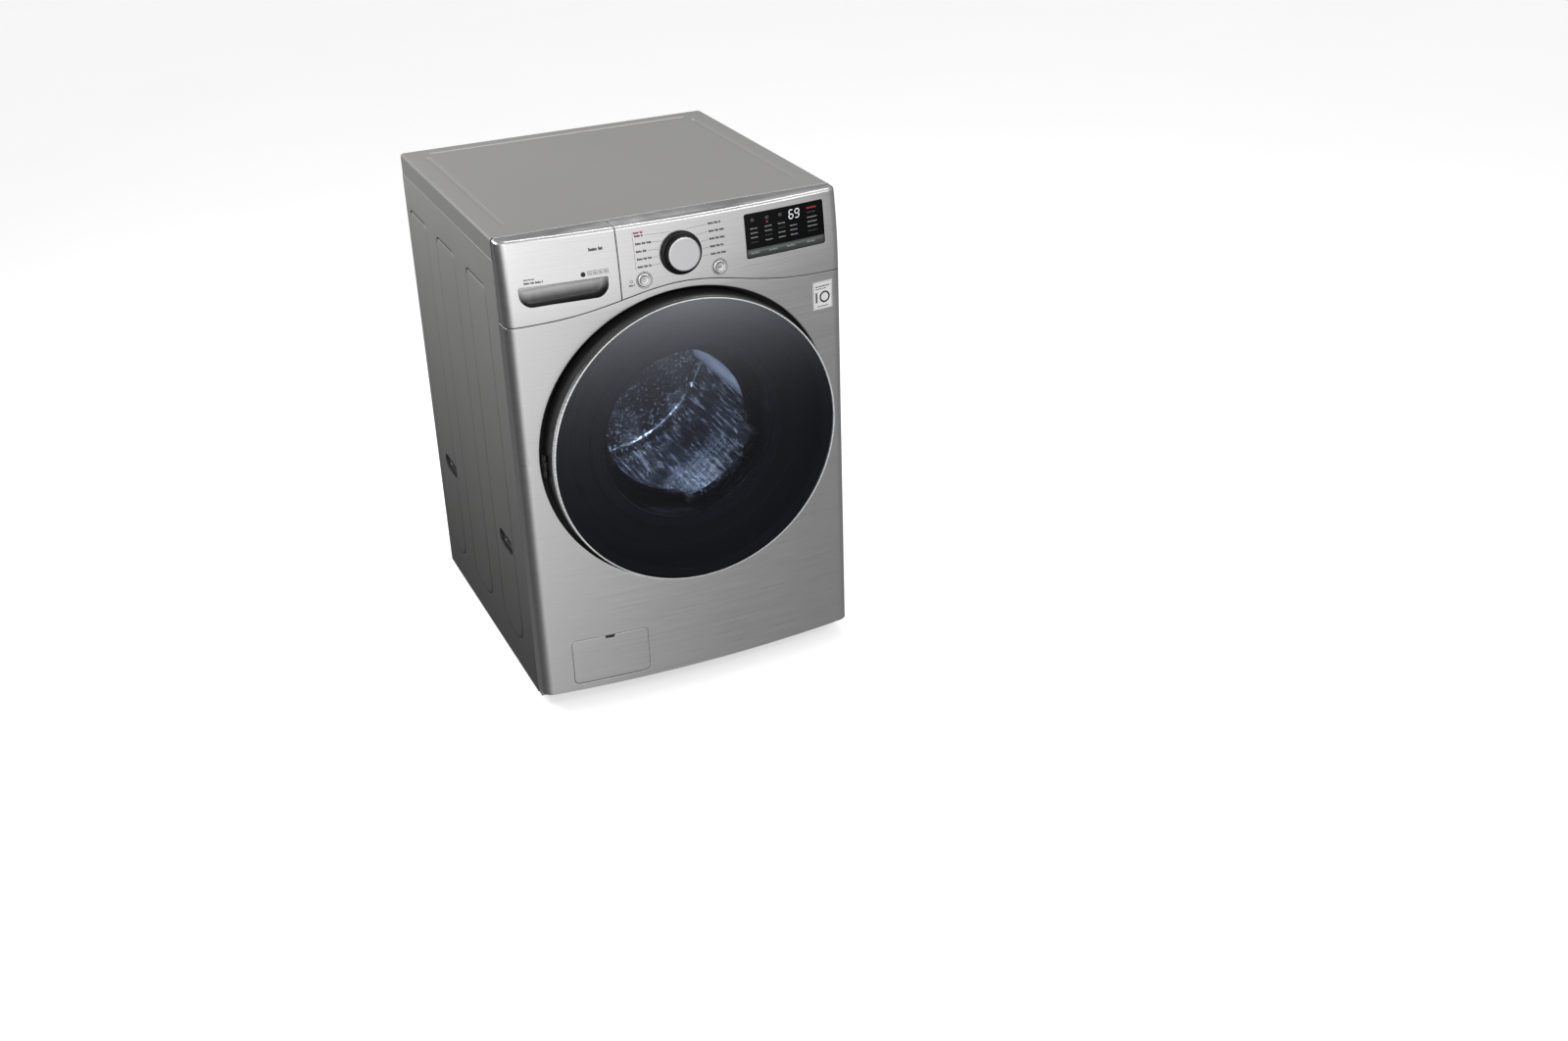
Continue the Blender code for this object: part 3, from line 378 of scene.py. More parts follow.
def zinc_coat(name, colour):
    """Galvanised sheet with its spangle."""
    look = Look(name, colour, 0.42, 0.85)
    spangle = look.add("TexVoronoi", {"Vector": look.place, "Scale": 85.0}, feature="F1")
    grey = look.add("SeparateColor", {"Color": spangle.outputs["Color"]}).outputs[0]
    drift = look.noise(9)
    base = look.blend(grey, shade(colour, 0.84), shade(colour, 1.12))
    look.colour(look.stain(drift, 0.5, base, shade(colour, 0.88)))
    look.rough(grey, 0.36, 0.52, 0.0, 1.0)
    look.bump(drift, 0.08, 0.0008)
    return look.made


def moulded(name, colour, roughness, texture=900.0, **sockets):
    """Moulded plastic: a fine spark-eroded texture, and faint flow marks."""
    look = Look(name, colour, roughness, **sockets)
    grain, flow = look.noise(texture, 2.0), look.noise((14, 14, 40), distortion=0.6)
    look.colour(look.stain(grain, 0.35, look.vary(flow, colour, 0.92, 1.08), shade(colour, 1.18)))
    look.rough(flow, roughness - 0.05, roughness + 0.06)
    look.bump(grain, 0.12, 0.0003)
    return look.made


def polished(name, colour, roughness, metallic=1.0, **sockets):
    """Bright plating or lacquer with faint wiping marks."""
    look = Look(name, colour, roughness, metallic, **sockets)
    wipe = look.noise((55, 55, 240), distortion=0.8)
    look.colour(look.vary(wipe, colour, 0.96, 1.03))
    look.rough(wipe, roughness * 0.8, roughness * 1.35)
    look.bump(look.noise(160, 2.0), 0.03, 0.0004)
    return look.made


def rim_plating_shaded(name, colour, under, roughness):
    """Satin plating that turns to under where it faces up: painted shade, standing in for the dark recess it
    mirrors.
    """
    look = Look(name, colour, roughness, 0.4)
    wipe = look.noise((55, 55, 240), distortion=0.8)
    # Painted shade: the colour goes to under where the surface faces up.
    facing = look.part(look.add("NewGeometry").outputs["Normal"], "Z")
    look.colour(look.blend(look.spread(facing, 0.0, 1.0), look.vary(wipe, colour, 0.95, 1.05), under))
    look.rough(wipe, roughness * 0.85, roughness * 1.2)
    return look.made


def spun(name, colour, centre, roughness=0.3):
    """A cap turned on a lathe: its fine marks are circles about centre."""
    look = Look(name, colour, roughness, 0.85, Anisotropic=0.5)
    offset = look.add("VectorMath", {0: look.place, 1: centre}, operation="SUBTRACT")
    radius = look.add("VectorMath", {0: offset.outputs[0]}, operation="LENGTH").outputs["Value"]
    rings = look.add("TexNoise", {"W": look.maths("MULTIPLY", radius, 5200.0), "Scale": 1.0, "Detail": 2.0},
                     noise_dimensions="1D").outputs["Fac"]
    look.colour(look.vary(rings, colour, 0.93, 1.05))
    look.rough(rings, roughness - 0.05, roughness + 0.08)
    look.bump(rings, 0.05, 0.0001)
    return look.made


def rubber(name, colour):
    """Dull rubber with bloom and a fine grain."""
    look = Look(name, colour, 0.72)
    bloom = look.noise(26, 4.0)
    look.colour(look.vary(bloom, colour, 0.85, 1.25))
    look.rough(bloom, 0.62, 0.82)
    look.bump(look.noise(700, 2.0), 0.2, 0.0004)
    return look.made


def cast(name, colour, roughness, metallic, cells):
    """Cast or concrete surface: coarse grain with pits."""
    look = Look(name, colour, roughness, metallic)
    grain = look.noise(cells, 6.0, 0.7)
    look.colour(look.stain(look.noise(6), 0.5, look.vary(grain, colour, 0.78, 1.16), shade(colour, 0.8)))
    look.rough(grain, roughness - 0.08, roughness + 0.08)
    look.bump(grain, 0.5, 0.0012)
    return look.made


def windings(name, colour):
    """Enamelled copper wire, wound about the motor's axis."""
    look = Look(name, colour, 0.34, 0.9)
    wires = look.noise((40, 900, 40), 2.0)
    look.colour(look.vary(wires, colour, 0.55, 1.2))
    look.rough(wires, 0.28, 0.45)
    look.bump(wires, 0.4, 0.0006)
    return look.made


def glazed(name, tint, film, shares, ior, roughness):
    """Glass that lets light through. film is a faint colour of its own mixed in, and shares how much of it
    shows at its foot and at its head. More of it towards the head is painted reflection, lighter towards the
    top."""
    look = Look(name, tint, roughness)
    # Painted reflection: more of the film shows towards the top of the pane.
    height = look.maths("ADD", look.part(look.place, "Z"), look.maths("MULTIPLY", look.noise(5, 2.0), 0.02))
    rise = look.spread(height, 0.0, 1.0, DOOR_Z - SURROUND_R, DOOR_Z + SURROUND_R)
    share = look.spread(look.maths("POWER", rise, 7.0), *shares, 0.0, 1.0)
    body = look.add("BsdfDiffuse", {"Color": (*film, 1)})
    clear = look.add("BsdfTransparent", {"Color": (*tint, 1)})
    through = look.add("MixShader", {0: share, 1: clear.outputs[0], 2: body.outputs[0]})
    smear = look.spread(look.noise((18, 18, 30), distortion=0.5), roughness, roughness * 2.2)
    gloss = look.add("BsdfGlossy", {"Color": (1, 1, 1, 1), "Roughness": smear})
    edge = look.add("Fresnel", {"IOR": ior})
    made = look.add("MixShader", {0: edge.outputs[0], 1: through.outputs[0], 2: gloss.outputs[0]})
    look.links.new(made.outputs[0], look.output.inputs["Surface"])
    look.nodes.remove(look.shader)
    return look.made


def printed(name, colour, roughness=0.5, glow=0.0):
    """Printing ink or a lit sign, very slightly uneven."""
    look = Look(name, colour, roughness)
    uneven = look.noise(600, 2.0)
    look.colour(look.vary(uneven, colour, 0.9, 1.05))
    look.bump(uneven, 0.05, 0.0001)
    if glow:
        look.shader.inputs["Emission Color"].default_value = (*colour, 1)
        look.shader.inputs["Emission Strength"].default_value = glow
    return look.made


def shaded_scoop_look():
    """Lacquered inside of the finger pocket, with painted shade that darkens it towards its foot."""
    look = Look("pocket_lacquer_painted_shade", (0.3, 0.3, 0.3), 0.42, 0.1)
    depth = look.maths("ADD", look.part(look.place, "Y"), -face_y(-0.23, POCKET_HIGH))
    height = look.maths("ADD", look.part(look.place, "Z"), look.maths("MULTIPLY", depth, 0.5))
    height = look.maths("ADD", height, look.maths("MULTIPLY", look.noise((90, 90, 30)), 0.004))
    # Painted shade: near-black low in the pocket, light grey at its head.
    foot = POCKET_LOW + 0.35 * (POCKET_HIGH - POCKET_LOW)
    rise = look.spread(height, 0.0, 1.0, foot, POCKET_HIGH + 0.004)
    look.colour(look.blend(look.maths("POWER", rise, 1.6), (0.008, 0.008, 0.009), (0.8, 0.8, 0.8)))
    look.rough(look.noise(40, 2.0), 0.28, 0.42)
    return look.made


def paper_look():
    """The studio floor's pale paper."""
    look = Look("floor_paper", (0.82, 0.82, 0.82), 0.75, Emission_Color=(1.0, 1.0, 1.0, 1),
                Emission_Strength=0.54)
    look.colour(look.blend(look.noise(1.5, 2.0), (0.8, 0.8, 0.8), (0.84, 0.84, 0.84)))
    look.made.cycles.emission_sampling = "NONE"
    return look.made


STEEL = brushed("brushed_steel", (0.66, 0.66, 0.665), (9.0, 9.0, 1500.0))
TOP_PAINT = painted("painted_grey", (0.392, 0.385, 0.381), 0.35, 0.36, 0.9)
# The sides' paint carries painted shade, down to 0.24 of its colour at the bottom.
SIDE_SHADED_PAINT = painted("painted_dark", (0.385, 0.38, 0.377), 0.35, 0.42, foot=0.24)
# Dark lines along the bottoms of the side grooves: painted shade, darker again towards the bottom.
GROOVE_SHADE = painted("painted_shade", (0.07, 0.069, 0.068), 0.2, 0.5, foot=0.5)
HOLD_BLACK = moulded("hold_black", (0.03, 0.03, 0.03), 0.4, 700.0)
ZINC = zinc_coat("zinc", (0.56, 0.57, 0.58))
DRUM_GLINT_STEEL = glint_painted_steel("drum_steel_painted_glints", (0.96, 0.98, 1.0), (0.035, 0.04, 0.052))
PLAIN_STEEL = polished("steel", (0.62, 0.62, 0.63), 0.24)
BLACK = moulded("black_plastic", (0.018, 0.018, 0.02), 0.38)
GREY = moulded("grey_plastic", (0.2, 0.205, 0.215), 0.46)
DARK_GREY = moulded("dark_frame_plastic", (0.013, 0.014, 0.017), 0.36, 500.0)
WHITE = moulded("white_plastic", (0.72, 0.72, 0.71), 0.42)
BLUE = moulded("blue_plastic", (0.03, 0.1, 0.36), 0.42)
RED_PLASTIC = moulded("red_plastic", (0.42, 0.03, 0.03), 0.42)
LEVEL = moulded("translucent_blue", (0.22, 0.42, 0.62), 0.3)
LIFTER = polished("lifter_plastic", (0.36, 0.38, 0.42), 0.22, 0.3)
SHELL = moulded("door_shell", (0.016, 0.016, 0.016), 0.34, 700.0, Specular_IOR_Level=0.3)
# Black strips under the shut lines and gaps: painted shade.
SHADOW = rubber("shut_line_shadow", (0.004, 0.004, 0.0045))
KNOB_BLACK = moulded("knob_black", (0.005, 0.005, 0.0055), 0.32, Specular_IOR_Level=0.22)
RECESS_BLACK = moulded("recess_black", (0.01, 0.01, 0.011), 0.42, Specular_IOR_Level=0.3)
TUB = moulded("tub_plastic", (0.045, 0.047, 0.052), 0.5)
CHROME = polished("chrome", (0.74, 0.74, 0.75), 0.16)
RIM = rim_plating_shaded("satin_rim_painted_shade", (0.86, 0.86, 0.865), (0.04, 0.04, 0.041), 0.28)
SILVER = polished("silver_lacquer", (0.7, 0.7, 0.71), 0.3, 0.75)
CAP = spun("spun_cap", (0.6, 0.6, 0.61), middle("knob_cap"))
# The pane's film grows to 0.24 at its head: painted reflection, lighter towards the top.
TINTED = glazed("tinted_glass", (0.5, 0.54, 0.62), (0.62, 0.64, 0.68), (0.004, 0.24), 1.26, 0.03)
CLEAR = glazed("clear_glass", (0.93, 0.95, 0.97), (0.3, 0.32, 0.36), (0.01, 0.01), 1.35, 0.015)
DISPLAY = polished("display_gloss", (0.003, 0.003, 0.0035), 0.09, 0.0, Specular_IOR_Level=0.12)
GASKET = rubber("gasket_rubber", (0.2, 0.205, 0.21))
RUBBER = rubber("black_rubber", (0.026, 0.026, 0.027))
CONCRETE = cast("concrete", (0.4, 0.39, 0.37), 0.85, 0.0, 180.0)
ALUMINIUM = cast("cast_aluminium", (0.55, 0.55, 0.56), 0.46, 0.9, 260.0)
COPPER = windings("copper_wire", (0.58, 0.26, 0.12))
INK = printed("dark_ink", (0.018, 0.018, 0.02), 0.6)
RED_INK = printed("red_ink", (0.42, 0.015, 0.05), 0.6)
LABEL = printed("label_paper", (0.78, 0.78, 0.78), 0.55)
LIT = printed("lit_white", (0.85, 0.88, 0.9), 0.4, 0.55)
LIT_DIM = printed("lit_dim", (0.34, 0.35, 0.36), 0.4, 0.1)
LIT_RED = printed("lit_red", (0.55, 0.03, 0.05), 0.4, 0.25)
STRIP = printed("display_strip", (0.058, 0.07, 0.066), 0.3)
SCOOP_SHADE = shaded_scoop_look()

# ---------------------------------------------------------------- making meshes


def piece(name, shape, look, body, slot=None, stands_for=(), sharp=32.0, weighted=True):
    """Puts a mesh, or a BMesh, in the scene as a piece that rides on a CAD body."""
    mesh = closed_mesh(name, shape) if isinstance(shape, bmesh.types.BMesh) else shape
    obj = bpy.data.objects.new(name, mesh)
    bpy.context.scene.collection.objects.link(obj)
    mesh.materials.append(look)
    mesh.shade_smooth()
    mesh.set_sharp_from_angle(angle=math.radians(sharp))
    if weighted:
        even = obj.modifiers.new("even_shading", "WEIGHTED_NORMAL")
        even.keep_sharp = True
    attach(obj, body)
    if stands_for:
        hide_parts(*stands_for)
    return obj


def plain_mesh(name, bm):
    mesh = bpy.data.meshes.new(name)
    bm.to_mesh(mesh)
    bm.free()
    return mesh


def closed_mesh(name, bm, recalculate=True):
    bmesh.ops.remove_doubles(bm, verts=bm.verts, dist=1e-6)
    if recalculate:
        bmesh.ops.recalc_face_normals(bm, faces=bm.faces)
    return plain_mesh(name, bm)


def thicken(obj, thickness, offset=-1.0):
    shell = obj.modifiers.new("thickness", "SOLIDIFY")
    shell.thickness = thickness
    shell.offset = offset
    shell.use_even_offset = True


def round_edges(obj, width, segments=3, angle=40.0):
    bevel = obj.modifiers.new("edges", "BEVEL")
    bevel.width = width
    bevel.segments = segments
    bevel.limit_method = "ANGLE"
    bevel.angle_limit = math.radians(angle)
    bevel.harden_normals = True


def soften(line, radius, steps=4, closed=False):
    """The same line with its corners rounded."""
    points = [Vector(point) for point in line]
    made = []
    for i, here in enumerate(points):
        if not closed and i in (0, len(points) - 1):
            made.append(here)
            continue
        before = points[i - 1] - here
        after = points[(i + 1) % len(points)] - here
        reach = min(radius, before.length * 0.48, after.length * 0.48)
        start = here + before.normalized() * reach
        end = here + after.normalized() * reach
        for k in range(steps + 1):
            t = k / steps
            made.append(start * (1 - t) ** 2 + here * 2 * t * (1 - t) + end * t ** 2)
    return made


def rounded(centre_a, centre_b, width, height, radius, arc=8, foot_radius=None):
    """Outline of a rectangle with round corners, counter-clockwise from its right side."""
    points = []
    for corner, (side_a, side_b) in enumerate([(1, 1), (-1, 1), (-1, -1), (1, -1)]):
        r = foot_radius if foot_radius and side_b < 0 else radius
        a = centre_a + side_a * (width / 2 - r)
        b = centre_b + side_b * (height / 2 - r)
        for i in range(arc + 1):
            turn = math.pi / 2 * (corner + i / arc)
            points.append((a + r * math.cos(turn), b + r * math.sin(turn)))
    return points


def grown(at, size, grow, radius, arc=8, foot_radius=None):
    """Outline of a rectangle with round corners, made larger all round by grow."""
    foot = foot_radius + grow if foot_radius else None
    return rounded(*at, size[0] + 2 * grow, size[1] + 2 * grow, radius + grow, arc, foot)


def ring_points(centre_a, centre_b, radius, steps):
    turns = [2 * math.pi * i / steps for i in range(steps)]
    return [(centre_a + radius * math.cos(t), centre_b + radius * math.sin(t)) for t in turns]


def stations(start, end, step):
    count = max(1, round(abs(end - start) / step))
    return [start + (end - start) * i / count for i in range(count + 1)]


def crossings(xs, ys):
    return [(x, y) for x in xs for y in ys]


def densify(loop, step):
    """A closed loop with no stretch longer than step."""
    made = []
    for i, here in enumerate(loop):
        here, there = Vector(here), Vector(loop[(i + 1) % len(loop)])
        count = max(1, math.ceil((there - here).length / step))
        made += [tuple(here + (there - here) * k / count) for k in range(count)]
    return made


def contains(loop, points):
    """Which of the points are inside the loop."""
    loop = np.array(loop, float)
    inside = np.zeros(len(points), bool)
    x, y = points[:, 0], points[:, 1]
    for (x0, y0), (x1, y1) in zip(loop, np.roll(loop, -1, axis=0)):
        crosses = (y0 > y) != (y1 > y)
        if y0 != y1:
            inside ^= crosses & (x < x0 + (x1 - x0) * (y - y0) / (y1 - y0))
    return inside


def flat_region(outline, holes=(), lines=(), grid=(), clear=0.003):
    """Triangles that fill an outline around its holes, with lines as edges and grid points."""
    loops = [list(outline), *map(list, holes), *map(list, lines)]
    given = np.array([point for loop in loops for point in loop], float)
    edges, start = [], 0
    for loop in loops:
        edges += [(start + i, start + (i + 1) % len(loop)) for i in range(len(loop))]
        start += len(loop)
    extra = np.array(list(grid), float).reshape(-1, 2)
    if len(extra):
        wanted = contains(outline, extra)
        for hole in holes:
            wanted &= ~contains(hole, extra)
        extra = extra[wanted]
        near = [np.hypot(*(given - point).T).min() < clear for point in extra]
        extra = extra[~np.array(near, bool)]
    points = [Vector(point) for point in np.vstack([given, extra])]
    verts, _, faces, *_ = delaunay_2d_cdt(points, edges, [], 0, 1e-8)
    flat = np.array(verts)
    faces = np.array([face for face in faces if len(face) == 3])
    middle = flat[faces].mean(axis=1)
    wanted = contains(outline, middle)
    for hole in holes:
        wanted &= ~contains(hole, middle)
    return flat, faces[wanted]


def add_region(bm, region, place):
    flat, faces = region
    verts = [bm.verts.new(place(*point)) for point in flat]
    for face in faces:
        bm.faces.new([verts[i] for i in face])


def inward(loop):
    """Unit vectors that point into a closed flat loop, one for each of its points."""
    loop = [Vector(point) for point in loop]
    area = sum(a.x * b.y - a.y * b.x for a, b in zip(loop, loop[1:] + loop[:1]))
    turn = 1 if area > 0 else -1
    found = []
    for i, here in enumerate(loop):
        along = (loop[(i + 1) % len(loop)] - loop[i - 1]).normalized()
        found.append(Vector((-along.y, along.x)) * turn)
    return found


def add_strips(bm, lines, closed):
    """Quads between lines of points, each as long as the next."""
    rows = [[bm.verts.new(point) for point in line] for line in lines]
    count = len(rows[0]) if closed else len(rows[0]) - 1
    for lower, upper in zip(rows, rows[1:]):
        for i in range(count):
            j = (i + 1) % len(lower)
            bm.faces.new((lower[i], lower[j], upper[j], upper[i]))
    return rows


def edge_lines(chain, radius, depth, steps=4):
    """A sheet's rounded edge. chain is (point, normal, outward) where the flat part ends."""
    lines = []
    for k in range(steps + 1):
        turn = math.pi / 2 * k / steps
        out, down = radius * math.sin(turn), radius * (1 - math.cos(turn))
        lines.append([point + outward * out - normal * down for point, normal, outward in chain])
    if depth > radius:
        lines.append([point + outward * radius - normal * depth for point, normal, outward in chain])
    return lines


def flat_chain(loop, flat, normal, hole=False):
    """The (point, normal, outward) triples of a loop in a plane. flat(a, b) is a point of the plane."""
    ways = inward(loop) if hole else [-way for way in inward(loop)]
    return [(flat(*spot), Vector(normal), flat(*way) - flat(0, 0)) for spot, way in zip(loop, ways)]


def turned_mesh(name, profile, centre, steps=DOOR_STEPS, axis=FORWARD, closed=False):
    """A profile of (radius, distance along axis from centre) turned about the axis."""
    frame = Matrix.Translation(centre) @ Vector(axis).to_track_quat("Z", "X").to_matrix().to_4x4()
    turns = [2 * math.pi * i / steps for i in range(steps)]
    bm = bmesh.new()
    add_strips(bm, [[frame @ Vector((radius * math.cos(t), radius * math.sin(t), along)) for t in turns]
                    for radius, along in (*profile, *(profile[:1] if closed else ()))], True)
    bmesh.ops.remove_doubles(bm, verts=bm.verts, dist=1e-6)
    for face in [f for f in bm.faces if f.calc_area() < 1e-14]:
        bm.faces.remove(face)
    return closed_mesh(name, bm)


def turned_piece(name, profile, centre, *rest, soft=0.0, steps=DOOR_STEPS, axis=FORWARD, closed=False,
                 **options):
    """A piece turned about an axis, its profile's corners rounded by soft."""
    line = soften(profile, soft, closed=closed) if soft else profile
    return piece(name, turned_mesh(name, line, centre, steps, axis, closed), *rest, **options)


def door_turned(name, profile, *rest, soft=0.0006, closed=True, **options):
    """A piece turned about the door's own axis. profile is (radius, y)."""
    line = [(radius, -y) for radius, y in profile]
    return turned_piece(name, line, (0, 0, DOOR_Z), *rest, soft=soft, closed=closed, **options)


# ---------------------------------------------------------------- the front surface


def front_place(back=FRONT_BACK_Y):
    return lambda u, z: on_front(u, z, back)[0]


def front_chain(loop, outward_signs, back=FRONT_BACK_Y):
    """The (point, normal, outward) triples of a flat loop or line laid on the front."""
    chain = []
    for (u, z), way in zip(loop, outward_signs):
        point, normal = on_front(u, z, back)
        across = on_front(u + 1e-4, z, back)[0] - on_front(u - 1e-4, z, back)[0]
        outward = across.normalized() * way.x + Vector((0, 0, 1)) * way.y
        chain.append((point, normal, (outward - normal * outward.dot(normal)).normalized()))
    return chain


def front_stations(u_from, u_to, step):
    """Places between two ends along the front, closer together round its corners."""
    half = stations(0, BEND_X, step) + stations(BEND_X, BEND_X + BEND_LENGTH, 0.0028)[1:]
    half += stations(BEND_X + BEND_LENGTH, WRAP, 0.009)[1:]
    lines = {round(side * u, 7) for u in half for side in (1, -1)}
    return sorted(u for u in lines if u_from < u < u_to)


def front_grid(u_from, u_to, z_from, z_to, step=0.013):
    return crossings(front_stations(u_from, u_to, step), stations(z_from, z_to, step))


def wrap_stations(u_from, u_to, step=0.01):
    return [u_from, *front_stations(u_from, u_to, step), u_to]


def seam_line(u_from, u_to, shift):
    return [(u, seam_z(u) + shift) for u in wrap_stations(u_from, u_to)]


def add_edge(bm, loop, radius, depth, hole=False, back=FRONT_BACK_Y, steps=4):
    """Turns in the sheet along a closed loop on the front."""
    ways = inward(loop)
    if not hole:
        ways = [-way for way in ways]
    lines = edge_lines(front_chain(loop, ways, back), radius, depth, steps)
    add_strips(bm, lines, True)
    return lines[-1]


def inset(loop, distance):
    """The loop moved outwards by distance, or inwards where it is negative."""
    return [tuple(Vector(point) - way * distance) for point, way in zip(loop, inward(loop))]


# ---------------------------------------------------------------- front panel, control panel, drawer


def make_front_panel():
    """The steel front: one sheet with the door's opening, the cover's hole and turned edges."""
    low, shut = FRONT_LOW_Z + EDGE, SHUT_HALF + EDGE
    foot = [(u, low) for u in wrap_stations(-WRAP, WRAP, 0.013)]
    sides = stations(low, SEAM_Z - shut, 0.012)[1:-1]
    head = seam_line(-WRAP, WRAP, -shut)
    outline = foot + [(WRAP, z) for z in sides] + head[::-1] + [(-WRAP, z) for z in sides[::-1]]
    hole = rounded(COVER[0], COVER[1] - COVER_DROP / 2, COVER_SIZE[0] + SHUT_GAP,
                   COVER_SIZE[1] + SHUT_GAP + COVER_DROP, 0.01)
    hole = densify(inset(hole, EDGE), 0.01)
    radius = OPENING_R + OPENING_ROLL
    opening = ring_points(0, DOOR_Z, radius, DOOR_STEPS)
    around = [ring_points(0, DOOR_Z, radius + grow, DOOR_STEPS // 2) for grow in (0.006, 0.014)]
    bm = bmesh.new()
    grid = front_grid(-WRAP, WRAP, low, HEIGHT)
    add_region(bm, flat_region(outline, (opening, hole), around, grid), front_place())
    add_edge(bm, outline, EDGE, 0.005)
    add_edge(bm, hole, EDGE, 0.014, hole=True)
    rim = add_edge(bm, opening, OPENING_ROLL, OPENING_ROLL, hole=True, steps=6)
    add_strips(bm, [rim, [Vector((p.x, FLOOR_Y, p.z)) for p in rim]], True)
    piece("front_skin", bm, STEEL, "cabinet", "brushed_front", ["front_panel"])


def crown(bm, head, back):
    """Rolls the upper edge over into the flat strip behind it, along a line of u stations."""
    low = HEIGHT - TOP_ROUND
    chain = []
    for u in head:
        point, normal = on_front(u, low, back)
        flat = Vector((normal.x, normal.y, 0)).normalized()
        chain.append((point, flat, Vector((0, 0, 1))))
    lines = edge_lines(chain, TOP_ROUND, TOP_ROUND, 8)
    rim = lines[-1]
    add_strips(bm, lines, False)
    behind = [Vector((p.x, back, p.z)) for p in rim]
    middle = [a.lerp(b, 0.5) for a, b in zip(rim, behind)]
    lip = [Vector((p.x, back + EDGE * 0.3, HEIGHT - 0.003)) for p in behind]
    add_strips(bm, [rim, middle, behind], False)
    add_strips(bm, [behind, lip], False)
    return lines


def fascia_mesh(u_from, u_to, holes, lines=()):
    """A moulded piece of the control panel between two places along the front."""
    back, low_shift, top = PANEL_BACK_Y, SHUT_HALF + EDGE, HEIGHT - TOP_ROUND
    foot = seam_line(u_from, u_to, low_shift)
    head = [(u, top) for u in wrap_stations(u_from, u_to)]
    ends = (stations(foot[-1][1], top, 0.01)[1:-1], stations(foot[0][1], top, 0.01)[1:-1])
    outline = foot + [(u_to, z) for z in ends[0]] + head[::-1] + [(u_from, z) for z in ends[1][::-1]]
    grid = front_grid(u_from, u_to, SEAM_Z, top)
    bm = bmesh.new()
    add_region(bm, flat_region(outline, [loop for loop, _, _ in holes], lines, grid, 0.0025),
               front_place(back))
    for loop, radius, depth in holes:
        add_edge(bm, loop, radius, depth, hole=True, back=back)
    lower = front_chain(foot, [Vector((0, -1))] * len(foot), back)
    add_strips(bm, edge_lines(lower, EDGE, 0.006), False)
    rolled = crown(bm, [u for u, _ in head], back)
    for u, way, end in ((u_from, -1, 0), (u_to, 1, -1)):
        if abs(u) < BEND_X:
            add_end_wall(bm, u, way, [line[end] for line in rolled], foot[end][1], top, back)
    return bm


def add_end_wall(bm, u, way, rolled, low, top, back):
    """The end of a fascia at a shut line: its edge turns in towards the inside."""
    chain = []
    for z in stations(low, top, 0.01):
        point, normal = on_front(u, z, back)
        chain.append((point, normal, Vector((way, 0, 0))))
    for k, point in enumerate(rolled[1:], 1):
        turn = math.pi / 2 * min(1.0, k / (len(rolled) - 1))
        chain.append((point, Vector((0, -math.cos(turn), math.sin(turn))), Vector((way, 0, 0))))
    last = rolled[-1]
    chain.append((Vector((last.x, back, last.z)), Vector((0, 0, 1)), Vector((way, 0, 0))))
    add_strips(bm, edge_lines(chain, EDGE, 0.005, 3), False)


def button_centre(side):
    return side * abs(BUTTON[0]), BUTTON[1]


def make_control_panel():
    """The control panel with its holes for the buttons and the display."""
    holes, rings = [], []
    for side in (-1, 1):
        holes.append((ring_points(*button_centre(side), BUTTON_R + 0.0012, 48), 0.0007, 0.006))
        rings.append(ring_points(*button_centre(side), BUTTON_R + 0.0042, 48))
    holes.append((densify(grown(DISPLAY_AT, DISPLAY_SIZE, 0.0006, 0.0036), 0.012), 0.0005, 0.003))
    bm = fascia_mesh(SHUT_X + SHUT_HALF + EDGE, WRAP, holes, rings)
    piece("panel_skin", bm, STEEL, "cabinet", "brushed_front", ["control_panel"])


def pocket_outline(grow=0.0):
    """Finger pocket in the drawer: nearly square above, well rounded below."""
    centre = (POCKET_LEFT + POCKET_RIGHT) / 2, (POCKET_LOW + POCKET_HIGH) / 2
    return grown(centre, (POCKET_RIGHT - POCKET_LEFT, POCKET_HIGH - POCKET_LOW), grow, 0.0022, 10, 0.024)


def make_drawer_front():
    """The drawer's front, with its hole for the finger pocket."""
    lip = densify(pocket_outline(0.0011), 0.008)
    bm = fascia_mesh(-WRAP, SHUT_X - SHUT_HALF - EDGE, [(lip, 0.0011, 0.0011)])
    piece("drawer_skin", bm, STEEL, "drawer", "brushed_front", ["drawer_front"])


def make_pocket():
    """The finger pocket's scoop: straight walls that sweep round into its back."""
    loop = densify(pocket_outline(0.0), 0.006)
    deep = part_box("drawer_tray")[0].y - 0.006
    ways = inward(loop)
    sweep = 0.011
    rows = [[on_front(u, z, PANEL_BACK_Y)[0] + Vector((0, 0.0009, 0)) for u, z in loop]]
    rows.append([Vector((u, deep - sweep, z)) for u, z in loop])
    for k in range(1, 7):
        turn = math.pi / 2 * k / 6
        off, back = sweep * (1 - math.cos(turn)), sweep * (1 - math.sin(turn))
        rows.append([Vector((u + way.x * off, deep - back, z + way.y * off))
                     for (u, z), way in zip(loop, ways)])
    bm = bmesh.new()
    made = add_strips(bm, rows, True)
    bm.faces.new(made[-1])
    mesh = closed_mesh("pocket_scoop", bm, recalculate=False)
    piece("pocket_scoop", mesh, SCOOP_SHADE, "drawer", "silver", sharp=50.0)


